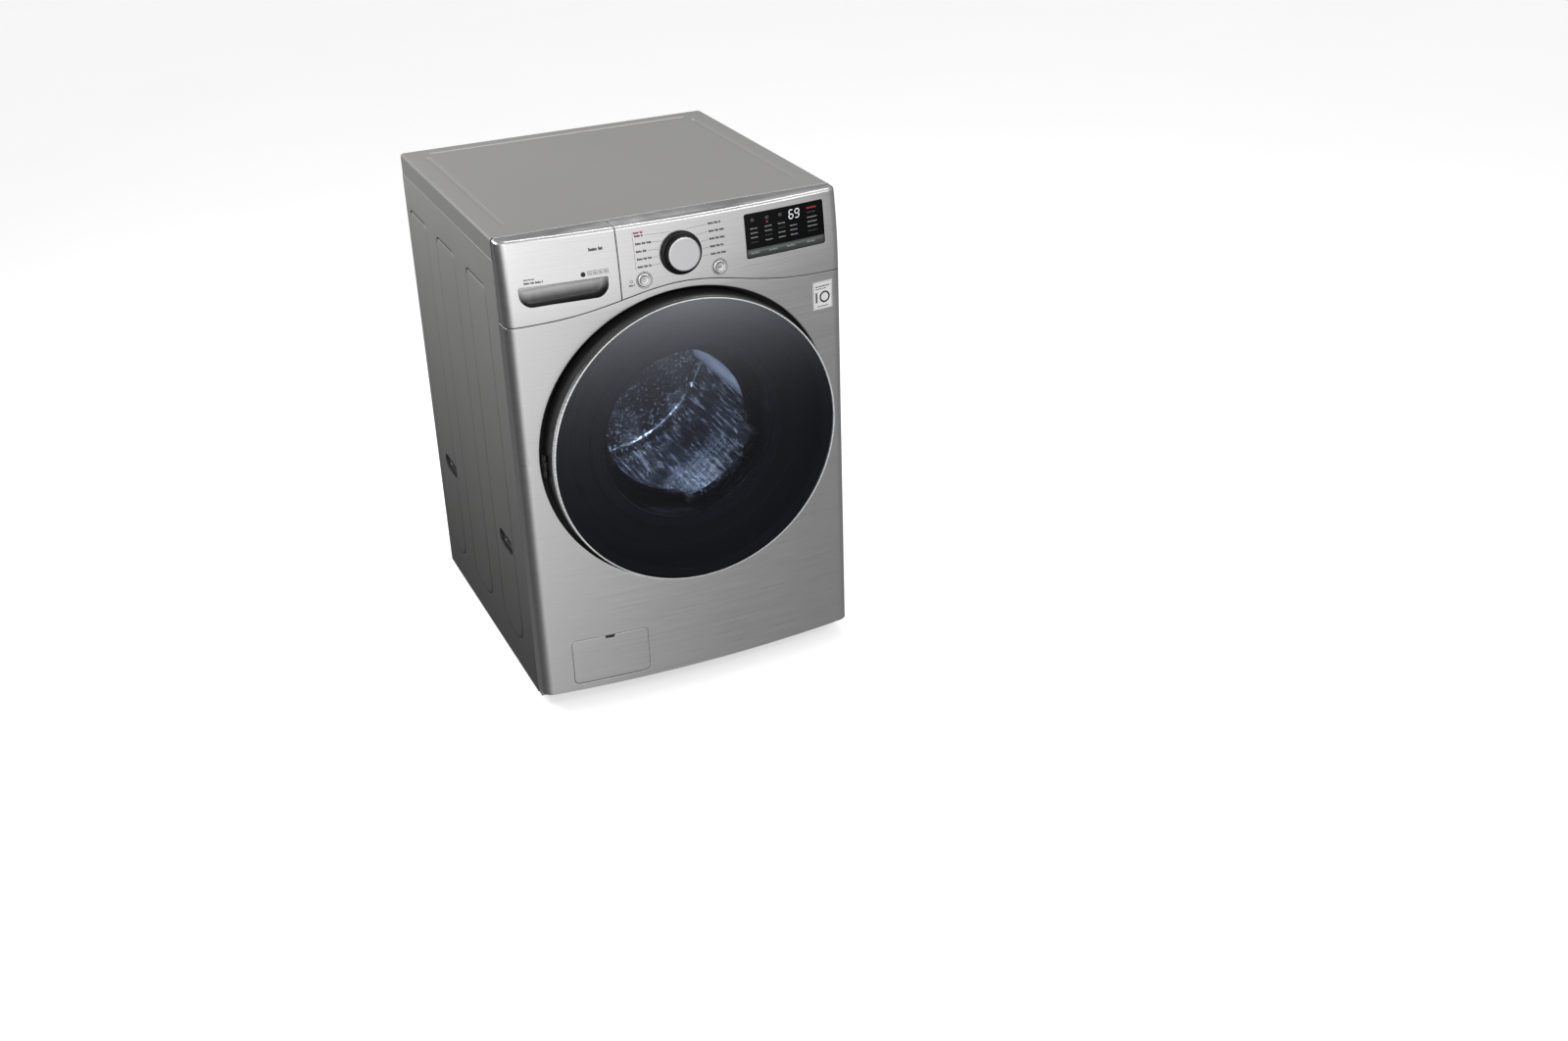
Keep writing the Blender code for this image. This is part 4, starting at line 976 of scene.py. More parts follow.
def make_top():
    """The top plate: rolled sides, with three long beads pressed into it."""
    roll, front_roll, plan_corner, step = 0.006, 0.0024, 0.003, 0.018
    x_end, y_start, y_end = HALF - roll, SEAM_Y + front_roll, PLATE_BACK_Y - roll
    corner = [(x_end - plan_corner + plan_corner * math.cos(math.pi / 2 * i / 6),
               y_end - plan_corner + plan_corner * math.sin(math.pi / 2 * i / 6)) for i in range(7)]
    right = [(x_end, y) for y in stations(y_start, y_end - plan_corner, 0.02)]
    back = [(x, y_end) for x in stations(x_end - plan_corner, -x_end + plan_corner, 0.02)]
    left = [(-x, y) for x, y in [*right, *corner[1:]]][::-1]
    around = [*right, *corner[1:], *back[1:-1], *left]
    xs = stations(-x_end, x_end, step)
    outline = around + [(x, y_start) for x in xs[1:-1]]
    rings = [densify(grown(at, size, -shrink, min(size) / 2), 0.02)
             for at, size in BEADS for shrink in (0.0, 0.0013, 0.0026, 0.0045)]
    bm = bmesh.new()
    add_region(bm, flat_region(outline, (), rings, crossings(xs, stations(y_start, y_end, step))),
               lambda x, y: Vector((x, y, HEIGHT - bead_depth(x, y))))
    chain = flat_chain(outline, lambda x, y: Vector((x, y, HEIGHT)), UP)[:len(around)]
    chain[0] = (*chain[0][:2], Vector((1, 0, 0)))
    chain[-1] = (*chain[-1][:2], Vector((-1, 0, 0)))
    lines = edge_lines(chain, roll, HEIGHT - PLATE_LOW_Z - EDGE, 8)
    lines.append([point - Vector((0, 0, EDGE)) - outward * EDGE
                  for point, (_, _, outward) in zip(lines[-1], chain)])
    lines.append([point - outward * 0.004 for point, (_, _, outward) in zip(lines[-1], chain)])
    add_strips(bm, lines, False)
    nose = [(Vector((x, y_start, HEIGHT)), Vector(UP), Vector(FORWARD)) for x in xs]
    add_strips(bm, edge_lines(nose, front_roll, 0.005), False)
    piece("top_skin", bm, TOP_PAINT, "cabinet", "painted_grey", ["top_plate"])


def box_distance(x, y, at, size, radius, foot_radius=None):
    """Signed distance from a rectangle with round corners, negative inside it."""
    r = foot_radius if foot_radius and y < at[1] else radius
    across, up = abs(x - at[0]) - size[0] / 2 + r, abs(y - at[1]) - size[1] / 2 + r
    return math.hypot(max(across, 0), max(up, 0)) + min(max(across, up), 0) - r


def ridge(away, half, depth):
    """Depth of a rounded groove at a distance from its middle line."""
    return depth * (0.5 + 0.5 * math.cos(math.pi * away / half)) if away < half else 0.0


def bead_depth(x, y):
    """Depth of the nearest bead in the top plate: a trough with straight sides."""
    inside = max(-box_distance(x, y, at, size, min(size) / 2) / (min(size) / 2) for at, size in BEADS)
    return BEAD_DEPTH * min(1.0, max(0.0, inside))


def groove_depth(y, z):
    """Depth of the pressed outlines in the side panels."""
    aways = [abs(box_distance(y, z, at, size, PRESSING_HEAD, PRESSING_FOOT)) for at, size in PRESSINGS]
    return ridge(min(aways), GROOVE_HALF, GROOVE_DEPTH)


def pressing(at, size, grow):
    return grown(at, size, grow, PRESSING_HEAD, 12, PRESSING_FOOT)


def make_side(name, side):
    """A side panel: three long pressed outlines, and two hand-holds sunk into it."""
    low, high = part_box(f"side_panel_{name}")
    y0, y1, z0, z1 = low.y + SIDE_ROLL, high.y - SIDE_ROLL, low.z + SIDE_ROLL, high.z - SIDE_ROLL
    outline = densify([(y0, z0), (y1, z0), (y1, z1), (y0, z1)], 0.02)
    rings = [densify(pressing(at, size, GROOVE_HALF * share), 0.03)
             for at, size in PRESSINGS for share in (-1, -0.5, 0, 0.5, 1)]
    holes = [grown((y, HOLD_Z), HOLD_SIZE, 0.0015, HOLD_SIZE[1] / 2 - 0.0005, 12) for y in HOLD_YS]
    bm = bmesh.new()
    grid = crossings(stations(y0, y1, 0.022), stations(z0, z1, 0.022))
    add_region(bm, flat_region(outline, holes, rings, grid),
               lambda y, z: Vector((side * (HALF - groove_depth(y, z)), y, z)))
    chain = flat_chain(outline, lambda y, z: Vector((side * HALF, y, z)), (side, 0, 0))
    add_strips(bm, edge_lines(chain, SIDE_ROLL, 0.004), True)
    piece(f"side_skin_{name}", bm, SIDE_SHADED_PAINT, "cabinet", "painted_dark", [f"side_panel_{name}"])
    bm = bmesh.new()
    for hole in holes:
        add_hand_hold(bm, hole, side)
    piece(f"hold_cups_{name}", bm, HOLD_BLACK, "cabinet", "black_plastic")
    # Dark strips laid along the grooves' bottoms: painted shade.
    bm = bmesh.new()
    for at, size in PRESSINGS:
        loops = [pressing(at, size, grow) for grow in (-GROOVE_SHADE_LINE, 0.0, GROOVE_SHADE_LINE)]
        add_strips(bm, [[Vector((side * (HALF - groove_depth(y, z) + 0.0002), y, z)) for y, z in loop]
                        for loop in loops], True)
    piece(f"side_groove_shade_{name}", bm, GROOVE_SHADE, "cabinet", "painted_dark")


def add_hand_hold(bm, hole, side, bend=0.004):
    """The black cup that a side panel's hand-hold is."""
    chain = flat_chain(hole, lambda y, z: Vector((side * (HALF - 0.0001), y, z)), (side, 0, 0), hole=True)
    lines = edge_lines(chain, 0.0015, HOLD_DEPTH - bend, 4)
    wall = lines[-1]
    lines += [[p + outward * bend * math.sin(turn) - normal * bend * (1 - math.cos(turn))
               for p, (_, normal, outward) in zip(wall, chain)] for turn in (0.5, 1.0, math.pi / 2)]
    bm.faces.new(add_strips(bm, lines, True)[-1])


def patch_mesh(name, outline, thickness, edge=0.0004, lift=0.0, step=0.012, back=FRONT_BACK_Y):
    """A piece of the front's surface inside an outline, with turned edges, lifted off it by lift."""
    outline = densify(outline, step)
    us, zs = [p[0] for p in outline], [p[1] for p in outline]
    inner = inset(outline, -edge)
    grid = [(u, z) for u in stations(min(us), max(us), step) for z in stations(min(zs), max(zs), step)]

    def lifted(u, z):
        point, normal = on_front(u, z, back)
        return point + normal * lift

    bm = bmesh.new()
    add_region(bm, flat_region(inner, (), (), grid, step * 0.3), lifted)
    chain = [(point + normal * lift, normal, outward)
             for point, normal, outward in front_chain(inner, [-way for way in inward(inner)], back)]
    add_strips(bm, edge_lines(chain, edge, thickness, 3), True)
    return closed_mesh(name, bm)


def make_access_cover():
    """The drain filter's cover, with its black pull tab."""
    outline = rounded(*COVER, *COVER_SIZE, 0.0094, 8)
    tab_w, tab_h, taper = 0.0205, 0.0062, 0.0015
    top = COVER[1] + COVER_SIZE[1] / 2
    cut = [(COVER[0] + tab_w / 2, top), (COVER[0] + tab_w / 2 - taper, top - tab_h),
           (COVER[0] - tab_w / 2 + taper, top - tab_h), (COVER[0] - tab_w / 2, top)]
    at = max(i for i, p in enumerate(outline) if p[0] > COVER[0] and p[1] > COVER[1]) + 1
    skin = patch_mesh("cover_skin", outline[:at] + cut + outline[at:], 0.003, 0.0006)
    piece("cover_skin", skin, STEEL, "access_cover", "brushed_front", ["access_cover"])
    tab = rounded(COVER[0], top - tab_h / 2 + 0.0004, tab_w - 0.002, tab_h - 0.0006, 0.0012, 4)
    piece("cover_pull_tab", patch_mesh("cover_pull_tab", tab, 0.005, 0.0005, 0.0004), BLACK,
          "access_cover", "black_plastic")


# ---------------------------------------------------------------- printing on the front


def strip(start, end, width, step=0.006):
    """Quads of a straight flat bar."""
    start, end = Vector(start), Vector(end)
    along = (end - start).normalized()
    across = Vector((-along.y, along.x)) * width / 2
    count = max(1, math.ceil((end - start).length / step))
    stops = [start.lerp(end, k / count) for k in range(count + 1)]
    return [[a - across, b - across, b + across, a + across] for a, b in zip(stops, stops[1:])]


def arc_strip(centre, radius, width, start=0.0, end=360.0, steps=40):
    """Quads of a flat ring or part of one, with angles in degrees from +X."""
    quads = []
    turns = [math.radians(start + (end - start) * k / steps) for k in range(steps + 1)]
    for a, b in zip(turns, turns[1:]):
        quads.append([(centre[0] + r * math.cos(t), centre[1] + r * math.sin(t))
                      for r, t in ((radius - width / 2, a), (radius - width / 2, b),
                                   (radius + width / 2, b), (radius + width / 2, a))])
    return quads


def disc(centre, radius, steps=16):
    return [ring_points(*centre, radius, steps)]


def frame_strip(centre, width, height, line, radius):
    """Quads of a thin rectangular outline with round corners."""
    outer = rounded(*centre, width, height, radius, 4)
    inner = rounded(*centre, width - 2 * line, height - 2 * line, max(radius - line, 0.0001), 4)
    count = len(outer)
    return [[outer[i], outer[(i + 1) % count], inner[(i + 1) % count], inner[i]] for i in range(count)]


def print_on(name, shapes, place, look, body, slot=None, film=0.00012):
    """A thin layer of flat shapes. place gives the point and normal of the surface under them."""
    bm = bmesh.new()
    for shape in shapes:
        spots = [place(*point) for point in shape]
        bm.faces.new([bm.verts.new(spot + normal * film) for spot, normal in spots])
    bmesh.ops.remove_doubles(bm, verts=bm.verts, dist=1e-6)
    for face in bm.faces:
        face.normal_update()
        centre = face.calc_center_median()
        if face.normal.dot(place(centre.x, centre.z)[1]) < 0:
            face.normal_flip()
    thicken(piece(name, plain_mesh(name, bm), look, body, slot, weighted=False), film * 0.9)


def on_sheet(back=FRONT_BACK_Y, lift=0.0):
    """The place for print on the front, or on the control panel where back is PANEL_BACK_Y."""
    def place(x, z):
        point, normal = on_front(x, z, back)
        return point + normal * lift, normal
    return place


SEGMENTS = {"top": ((0, 1), (1, 1)), "upper_left": ((0, 0.5), (0, 1)), "upper_right": ((1, 0.5), (1, 1)),
            "middle": ((0, 0.5), (1, 0.5)), "lower_left": ((0, 0), (0, 0.5)),
            "lower_right": ((1, 0), (1, 0.5)), "foot": ((0, 0), (1, 0))}
DIGIT_PARTS = {6: ("top", "upper_left", "middle", "lower_left", "lower_right", "foot"),
               9: ("top", "upper_left", "upper_right", "middle", "lower_right", "foot")}


def digit(value, left, low, width, height, line):
    """One seven-segment digit, leaning a little to the right."""
    shapes = []
    slant = 0.1 * height
    for part in DIGIT_PARTS[value]:
        (a0, b0), (a1, b1) = SEGMENTS[part]
        start = Vector((left + a0 * width + b0 * slant, low + b0 * height))
        end = Vector((left + a1 * width + b1 * slant, low + b1 * height))
        gap = (end - start).normalized() * line * 0.62
        shapes += strip(start + gap, end - gap, line, 0.05)
    return shapes


def words(x, z, length, height):
    """A line of print with no letters: upright strokes of uneven height, in groups."""
    pitch = height * 0.42
    shapes = []
    for k in range(round(length / pitch)):
        tall = height * STROKES[k % len(STROKES)]
        if tall:
            at, foot = x + (k + 0.5) * pitch, z - height * 0.36
            shapes += strip((at, foot), (at, foot + tall), pitch * 0.84)
    return shapes


def make_legends():
    """Neutral print where the panel has words, joined to the knob by fine lines."""
    rows = [KNOB_AXIS_Z - 0.0003 + PITCH * k for k in (-1, 0, 1, 2, 3)]
    lefts, rights = (0.027, 0.0295, 0.021, 0.0305, 0.0175), (0.031, 0.0285, 0.032, 0.031, 0.025)
    left_x, right_x, right_lift = KNOB_X - 0.087, KNOB_X + 0.06, 0.0012
    reach, least, gap, line = KNOB_R + 0.002, 0.015, 0.0015, 0.00045
    ink = []
    for z, left, right in zip(rows, lefts, rights):
        rise = z - KNOB_AXIS_Z
        ink += words(left_x, z, left, LEGEND)
        ink += words(right_x, z + right_lift, right, LEGEND)
        end_z = z - gap * max(-1.0, min(1.0, rise * 0.48 / PITCH))
        near = max(least, math.sqrt(max(0.0, reach ** 2 - rise ** 2))) + gap
        ink += strip((left_x + left + 0.002, z), (KNOB_X - near, end_z), line)
        ink += strip((right_x - 0.003, z + right_lift), (KNOB_X + near, end_z), line)
    red_x, low, red_line = left_x - 0.0035, rows[0] - 0.0037, 0.00055
    red = words(red_x + 0.002, rows[-1] + 0.0059, 0.0185, LEGEND)
    red += strip((red_x, rows[-1] + 0.0068), (red_x, low), red_line)
    red += strip((red_x, low), (red_x + 0.002, low), red_line)
    x, z = button_centre(-1)
    ink += words(x - 0.031, z - 0.007, 0.011, 0.0034)
    ink += arc_strip((x - 0.0255, z + 0.001), 0.0026, 0.0008, 130, 410, 20)
    ink += strip((x - 0.0255, z + 0.0012), (x - 0.0255, z + 0.0044), 0.0008)
    for side in (-1, 1):
        ink += arc_strip(button_centre(side), BUTTON_R + 0.0027, 0.0009)
    print_on("panel_legends", ink, on_sheet(PANEL_BACK_Y), INK, "cabinet")
    print_on("panel_red_marks", red, on_sheet(PANEL_BACK_Y), RED_INK, "cabinet")


def make_drawer_print():
    """Neutral marks on the drawer: three lines of print, and a row of small signs."""
    marks = words(-0.302, 0.917, 0.02, 0.0028) + words(-0.302, 0.9105, 0.036, 0.0042)
    marks += words(-0.1765, 0.956, 0.0275, 0.0064)
    for k in range(4):
        x, z = -0.179 + 0.0105 * k, 0.914
        marks += frame_strip((x, z), 0.0084, 0.0084, 0.0007, 0.0014)
        marks += strip((x - 0.0022, z - 0.001), (x + 0.0022, z - 0.001), 0.0012)
        marks += strip((x - 0.0022, z + 0.0014), (x + 0.0012, z + 0.0014), 0.001)
    marks += disc((-0.1915, 0.913), 0.0046, 24)
    print_on("drawer_print", marks, on_sheet(PANEL_BACK_Y), INK, "drawer")


def make_display():
    """The gloss window, with its lit digits, signs and the strip of touch fields."""
    gloss = patch_mesh("display_gloss", rounded(*DISPLAY_AT, *DISPLAY_SIZE, 0.004), 0.0022, 0.0005,
                       back=PANEL_BACK_Y)
    piece("display_gloss", gloss, DISPLAY, "cabinet", "display_glass", ["display_window"])
    left, low = DISPLAY_AT[0] - DISPLAY_SIZE[0] / 2, DISPLAY_AT[1] - DISPLAY_SIZE[1] / 2
    lit = []
    for k, value in enumerate((6, 9)):
        lit += digit(value, left + 0.096 + 0.013 * k, low + 0.061, 0.0085, 0.016, 0.0017)
    white, dim, fields = [], [], []
    columns = [left + x for x in (0.017, 0.048, 0.077, 0.103, 0.142)]
    for c, x in enumerate(columns):
        for r, z in enumerate((0.03, 0.039, 0.0475, 0.056)):
            if (c, r) != (3, 3):      # the digits stand there
                line = words(x - 0.006, low + z, 0.015 if c < 4 else 0.021, 0.0024)
                (white if (c * 3 + r) % 4 else dim).extend(line)
    for x in columns[:3]:
        white += frame_strip((x, low + 0.0725), 0.0056, 0.0046, 0.0005, 0.0012)
    red = words(columns[4] - 0.006, low + 0.074, 0.021, 0.003)
    red += disc((columns[1], low + 0.0645), 0.0019, 12)
    dim += words(columns[4] - 0.006, low + 0.0655, 0.019, 0.0026)
    middle_z = low + 0.0095       # of the strip of touch fields
    band = strip((left + 0.0015, middle_z), (left + DISPLAY_SIZE[0] - 0.0015, middle_z), 0.0165)
    for x in (0.017, 0.056, 0.095, 0.14):
        fields += words(left + x - 0.008, middle_z, 0.018, 0.003)
    under, over = 0.00005, 0.0002
    for name, shapes, look, lift in (("digits", lit, LIT, under), ("signs", white, LIT_DIM, under),
                                     ("signs_dim", dim, STRIP, under), ("red_signs", red, LIT_RED, under),
                                     ("strip", band, STRIP, under), ("fields", fields, LIT_DIM, over)):
        print_on(f"display_{name}", shapes, on_sheet(PANEL_BACK_Y, lift), look, "cabinet", "display_glass")


def make_sticker():
    """A small white label with a neutral ring and bars."""
    (x, z), size, lift = (0.298, 0.7835), (0.044, 0.057), 0.0003
    label = patch_mesh("front_label", rounded(x, z, *size, 0.0012, 4), 0.0004, 0.0001, lift)
    piece("front_label", label, LABEL, "cabinet")
    marks = frame_strip((x, z), size[0] - 0.003, size[1] - 0.003, 0.0004, 0.001)
    marks += arc_strip((x + 0.0045, z - 0.004), 0.0102, 0.0034)
    marks += strip((x - 0.0145, z - 0.0145), (x - 0.0145, z + 0.0065), 0.0036)
    marks += words(x - 0.0165, z + 0.0185, 0.033, 0.003) + words(x - 0.0165, z + 0.0135, 0.025, 0.002)
    marks += words(x - 0.0125, z - 0.0225, 0.025, 0.0024)
    print_on("front_label_print", marks, on_sheet(lift=lift), INK, "cabinet")


# ---------------------------------------------------------------- shut lines, knob and buttons


def ribbon(name, chain, half, depth, body, closed=False):
    """A dark strip laid under the surface, as wide as 2 * half: painted shade in a gap. chain is (point,
    normal, outward).
    """
    bm = bmesh.new()
    add_strips(bm, [[point + outward * half * share - normal * depth for point, normal, outward in chain]
                    for share in (-1, 0, 1)], closed)
    thicken(piece(name, closed_mesh(name, bm), SHADOW, body), 0.0004)


def make_seams():
    """Black strips behind the shut lines of the front: painted shade in the gaps."""
    along = [(u, seam_z(u)) for u in wrap_stations(-WRAP, WRAP)]
    chain = front_chain(along, [Vector((0, 1))] * len(along))
    ribbon("seam_shadow", chain, SEAM_HALF, SEAM_DEPTH, "cabinet")
    right = Vector((1, 0, 0))
    chain = [(*on_front(SHUT_X, z, PANEL_BACK_Y), right)
             for z in stations(seam_z(SHUT_X), HEIGHT - TOP_ROUND, 0.01)]
    foot = chain[-1][0]
    for k in range(1, 7):
        turn = math.pi / 2 * k / 6
        point = foot + Vector((0, TOP_ROUND * (1 - math.cos(turn)), TOP_ROUND * math.sin(turn)))
        chain.append((point, Vector((0, -math.cos(turn), math.sin(turn))), right))
    chain.append((Vector((SHUT_X, PANEL_BACK_Y, HEIGHT)), Vector(UP), right))
    ribbon("shut_shadow", chain, SEAM_HALF, SEAM_DEPTH, "cabinet")
    rings = [(f"{name}_gap_backing", ring_points(*button_centre(side), BUTTON_R + 0.0009, 48), PANEL_BACK_Y,
              0.0007, 0.0006) for side, name in ((-1, "power"), (1, "start"))]
    cover = densify(grown(COVER, COVER_SIZE, SHUT_GAP / 4, 0.0098 - SHUT_GAP / 4), 0.01)
    rings.append(("cover_gap_shadow", cover, FRONT_BACK_Y, SEAM_HALF, SEAM_DEPTH))
    for name, loop, back, half, depth in rings:
        chain = front_chain(loop, [-way for way in inward(loop)], back)
        ribbon(name, chain, half, depth, "cabinet", closed=True)


def make_knob():
    """The program knob: a fluted black skirt, a spun cap and its pointer."""
    centre, axis = on_front(KNOB_X, KNOB_AXIS_Z, PANEL_BACK_Y)
    skirt = [(0.0, 0.0012), (0.0398, 0.0012), (KNOB_R, 0.0024), (0.0413, 0.0042), (0.0385, 0.0058),
             (0.0352, 0.007), (0.033, 0.0182), (0.0322, 0.0192), (0.0, 0.0192)]
    mesh = turned_mesh("knob_grip", soften(skirt, 0.001), centre, KNOB_STEPS * 2, axis)
    flutes(mesh, centre, axis)
    piece("knob_grip", mesh, KNOB_BLACK, "knob", "black_plastic", ["knob_skirt"])
    cap = [(0.0, 0.0212), (0.0296, 0.0212), (0.0312, 0.0207), (0.0318, 0.0198), (0.0318, 0.0185)]
    turned_piece("knob_face", cap, centre, CAP, "knob", "silver", ["knob_cap"], soft=0.0006,
                 steps=KNOB_STEPS, axis=axis)
    right = Vector((1, 0, 0))
    up = right.cross(-axis)

    def on_skirt(a, b):
        return centre + right * a + up * b + axis * 0.0044, (axis + up * 0.25).normalized()

    pointer = [(-0.018, 0.0368), (-0.016, 0.034), (-0.0138, 0.0378)]
    print_on("knob_pointer", [pointer], on_skirt, LABEL, "knob")


def flutes(mesh, centre, axis):
    """Presses shallow grip flutes into the knob's side."""
    start, end, count, depth = 0.0072, 0.0178, 48, 0.0004
    for vert in mesh.vertices:
        offset = vert.co - centre
        height = offset.dot(axis)
        if not start < height < end:
            continue
        out = offset - axis * height
        turn = math.atan2(out.z, out.x)
        fade = math.sin(math.pi * (height - start) / (end - start))
        vert.co -= out.normalized() * depth * fade * (0.5 - 0.5 * math.cos(count * turn))


def make_button(name, side):
    """A round button with a chromed ring, a dished face and its sign."""
    centre, axis = on_front(*button_centre(side), PANEL_BACK_Y)
    ring = [(0.0088, 0.0012), (0.0092, 0.002), (0.0112, 0.0022), (0.0126, 0.0014), (BUTTON_R, 0.0),
            (BUTTON_R, -0.0045), (0.0088, -0.0045)]
    turned_piece(f"{name}_ring", ring, centre, CHROME, name, "chrome_trim", [name], soft=0.0005,
                 steps=KNOB_STEPS, axis=axis, closed=True)
    face = [(0.0, 0.0006), (0.005, 0.0008), (0.0084, 0.0014), (0.0087, 0.001), (0.0087, -0.0045)]
    turned_piece(f"{name}_face", face, centre, SILVER, name, "silver", soft=0.0004, steps=KNOB_STEPS,
                 axis=axis)
    right = (Vector((1, 0, 0)) - axis * axis.x).normalized()
    up = right.cross(-axis)

    def on_face(a, b):
        lift = 0.0008 + 0.0006 * (math.hypot(a, b) / 0.0084) ** 2
        return centre + right * a + up * b + axis * lift, axis

    if side < 0:
        sign = arc_strip((0, 0), 0.0033, 0.0006, 125, 415, 24) + strip((0, 0.0006), (0, 0.0044), 0.0006)
    else:
        sign = [[(-0.0034, -0.0022), (-0.0002, 0.0), (-0.0034, 0.0022)]]
        for x in (0.0013, 0.0031):
            sign += strip((x, -0.0021), (x, 0.0021), 0.0008)
    sign += arc_strip((0, 0), 0.0086, 0.0008)
    print_on(f"{name}_sign", sign, on_face, INK, name)


# ---------------------------------------------------------------- door


def make_door():
    """The door: moulded ring, plated trim, tinted pane, inner frame and glass bowl."""
    low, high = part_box("door_ring")
    glass_low, glass_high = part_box("door_glass")
    front, back, radius, glass_r = low.y, high.y, high.x, glass_high.x
    ledge, shoulder, notch_half = glass_high.y + 0.0003, front + 0.0045, 0.011
    ring = [(radius, back), (radius - 0.0006, shoulder), (radius - 0.0014, shoulder - 0.0008),
            (glass_r + 0.0008, ledge + 0.005), (glass_r, ledge + 0.0045), (glass_r, ledge),
            (0.272, ledge), (0.272, ledge + 0.003), (0.289, ledge + 0.003), (0.2925, ledge + 0.008),
            (0.2932, back)]
    shell = door_turned("door_shell", ring, SHELL, "door", "door_shell", ["door_ring"], soft=0.0003)
    carve(shell, (-0.32, -0.3465, DOOR_Z - notch_half), (-0.28, -0.31, DOOR_Z + notch_half))
    low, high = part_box("door_trim")
    r, y0, y1 = high.x, low.y, high.y
    trim = [(r, y1), (r - 0.0003, y1 - 0.0035), (r - 0.0008, y0 + 0.0018), (r - 0.0016, y0 + 0.0003),
            (glass_r + 0.0004, y0), (glass_r - 0.0002, y0 + 0.0006), (glass_r - 0.0002, y1)]
    door_turned("door_chrome", trim, RIM, "door", "chrome_trim", ["door_trim"], sharp=50.0)
    make_pane(glass_r, glass_low.y, glass_high.y - glass_low.y - GLASS_RISE)
    low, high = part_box("door_inner_frame")
    y0, y1, r = low.y, high.y, high.x
    frame = [(0.18, y0), (0.199, y0), (0.201, y0 - 0.0035), (0.206, y0 - 0.0035), (0.208, y0),
             (0.238, y0), (0.24, y0 - 0.002), (0.244, y0 - 0.002), (0.246, y0), (0.28, y0),
             (0.283, y0 - 0.03), (0.285, y0 - 0.03), (0.287, y0), (r, y0), (r, y1), (0.276, y1),
             (0.274, y1 - 0.0012), (0.27, y1 - 0.0012), (0.268, y1), (0.18, y1)]
    door_turned("door_frame", frame, DARK_GREY, "door", "grey_plastic", ["door_inner_frame"])
    make_bowl()


def make_pane(r, front, thick, rings=28):
    """The door's domed pane of glass."""
    shares = [i / rings for i in range(rings + 1)]
    face = [(r * share, front + GLASS_RISE * share ** 2) for share in shares[:-1]]
    edge = front + GLASS_RISE
    face += [(r - 0.001, edge - 0.0002), (r, edge + 0.0008), (r, edge + thick - 0.0006)]
    rear = [((r - 0.0008) * share, front + thick + GLASS_RISE * share ** 2) for share in shares[::-1]]
    door_turned("door_glass_pane", face + rear, TINTED, "door", "tinted_glass", ["door_glass"], soft=0.0,
                closed=False)


def make_bowl():
    """The glass bowl that reaches into the drum's mouth."""
    outside = [(0.2, -0.3325), (0.2, -0.3293), (0.178, -0.3293), (0.175, -0.3), (0.156, -0.235),
               (0.144, -0.222), (0.12, -0.216), (0.0, -0.212)]
    inside = [(0.0, -0.2155), (0.1195, -0.2196), (0.1418, -0.2252), (0.1527, -0.2366), (0.1712, -0.3008),
              (0.174, -0.33), (0.176, -0.3325)]
    line = [*soften(outside, 0.012, 8), *soften(inside, 0.011, 8), outside[0]]
    door_turned("door_bowl_glass", line, CLEAR, "door", "clear_glass", ["door_bowl"], soft=0.0, closed=False)


def carve(obj, low, high):
    """Cuts a box out of a piece, and applies the cut."""
    low, high = Vector(low), Vector(high)
    bm = bmesh.new()
    bmesh.ops.create_cube(bm, size=1.0)
    bmesh.ops.scale(bm, vec=high - low, verts=bm.verts)
    bmesh.ops.translate(bm, vec=(low + high) / 2, verts=bm.verts)
    cutter = bpy.data.objects.new("cutter", plain_mesh("cutter", bm))
    bpy.context.scene.collection.objects.link(cutter)
    cut = obj.modifiers.new("cut", "BOOLEAN")
    cut.object, cut.solver = cutter, "EXACT"
    obj.modifiers.move(len(obj.modifiers) - 1, 0)
    bpy.context.view_layer.update()
    weighted = [m for m in obj.modifiers if m.type == "WEIGHTED_NORMAL"]
    for modifier in weighted:
        modifier.show_viewport = False
    result = bpy.data.meshes.new_from_object(obj.evaluated_get(bpy.context.evaluated_depsgraph_get()))
    for modifier in weighted:
        modifier.show_viewport = True
    obj.modifiers.remove(cut)
    obj.data = result
    result.set_sharp_from_angle(angle=math.radians(32))
    bpy.data.objects.remove(cutter)


def make_surround():
    """The floor of the recess round the door, and the rubber bellows behind it."""
    low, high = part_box("door_surround")
    y, r, lip, hook_half = low.y, high.x, -0.296, 0.016
    ring = [(r, y), (r, y + 0.003), (0.225, y + 0.003), (0.225, lip), (0.2225, lip),
            (0.2225, y + 0.001), (0.2235, y), (0.248, y), (0.249, y + 0.001), (0.256, y + 0.001), (0.257, y),
            (0.286, y), (0.287, y + 0.0008), (0.29, y + 0.0008), (0.291, y)]
    surround = door_turned("recess_floor", ring, RECESS_BLACK, "cabinet", "black_plastic", ["door_surround"],
                           soft=0.0005)
    carve(surround, (0.232, -0.33, DOOR_Z - hook_half), (0.258, -0.3, DOOR_Z + hook_half))
    folds = [(0.183, -0.3075), (0.186, -0.3088), (0.2185, -0.3088), (0.2202, -0.305), (0.22, -0.293),
             (0.213, -0.289), (0.201, -0.287), (0.1995, -0.28), (0.201, -0.2735), (0.209, -0.27),
             (0.212, -0.266), (0.2115, -0.25)]
    bellows = door_turned("door_bellows", soften(folds, 0.0032, 5), GASKET, "cabinet", "gasket_rubber",
                          ["door_gasket"], soft=0.0, closed=False)
    thicken(bellows, 0.0024, 0.0)


# ---------------------------------------------------------------- drum


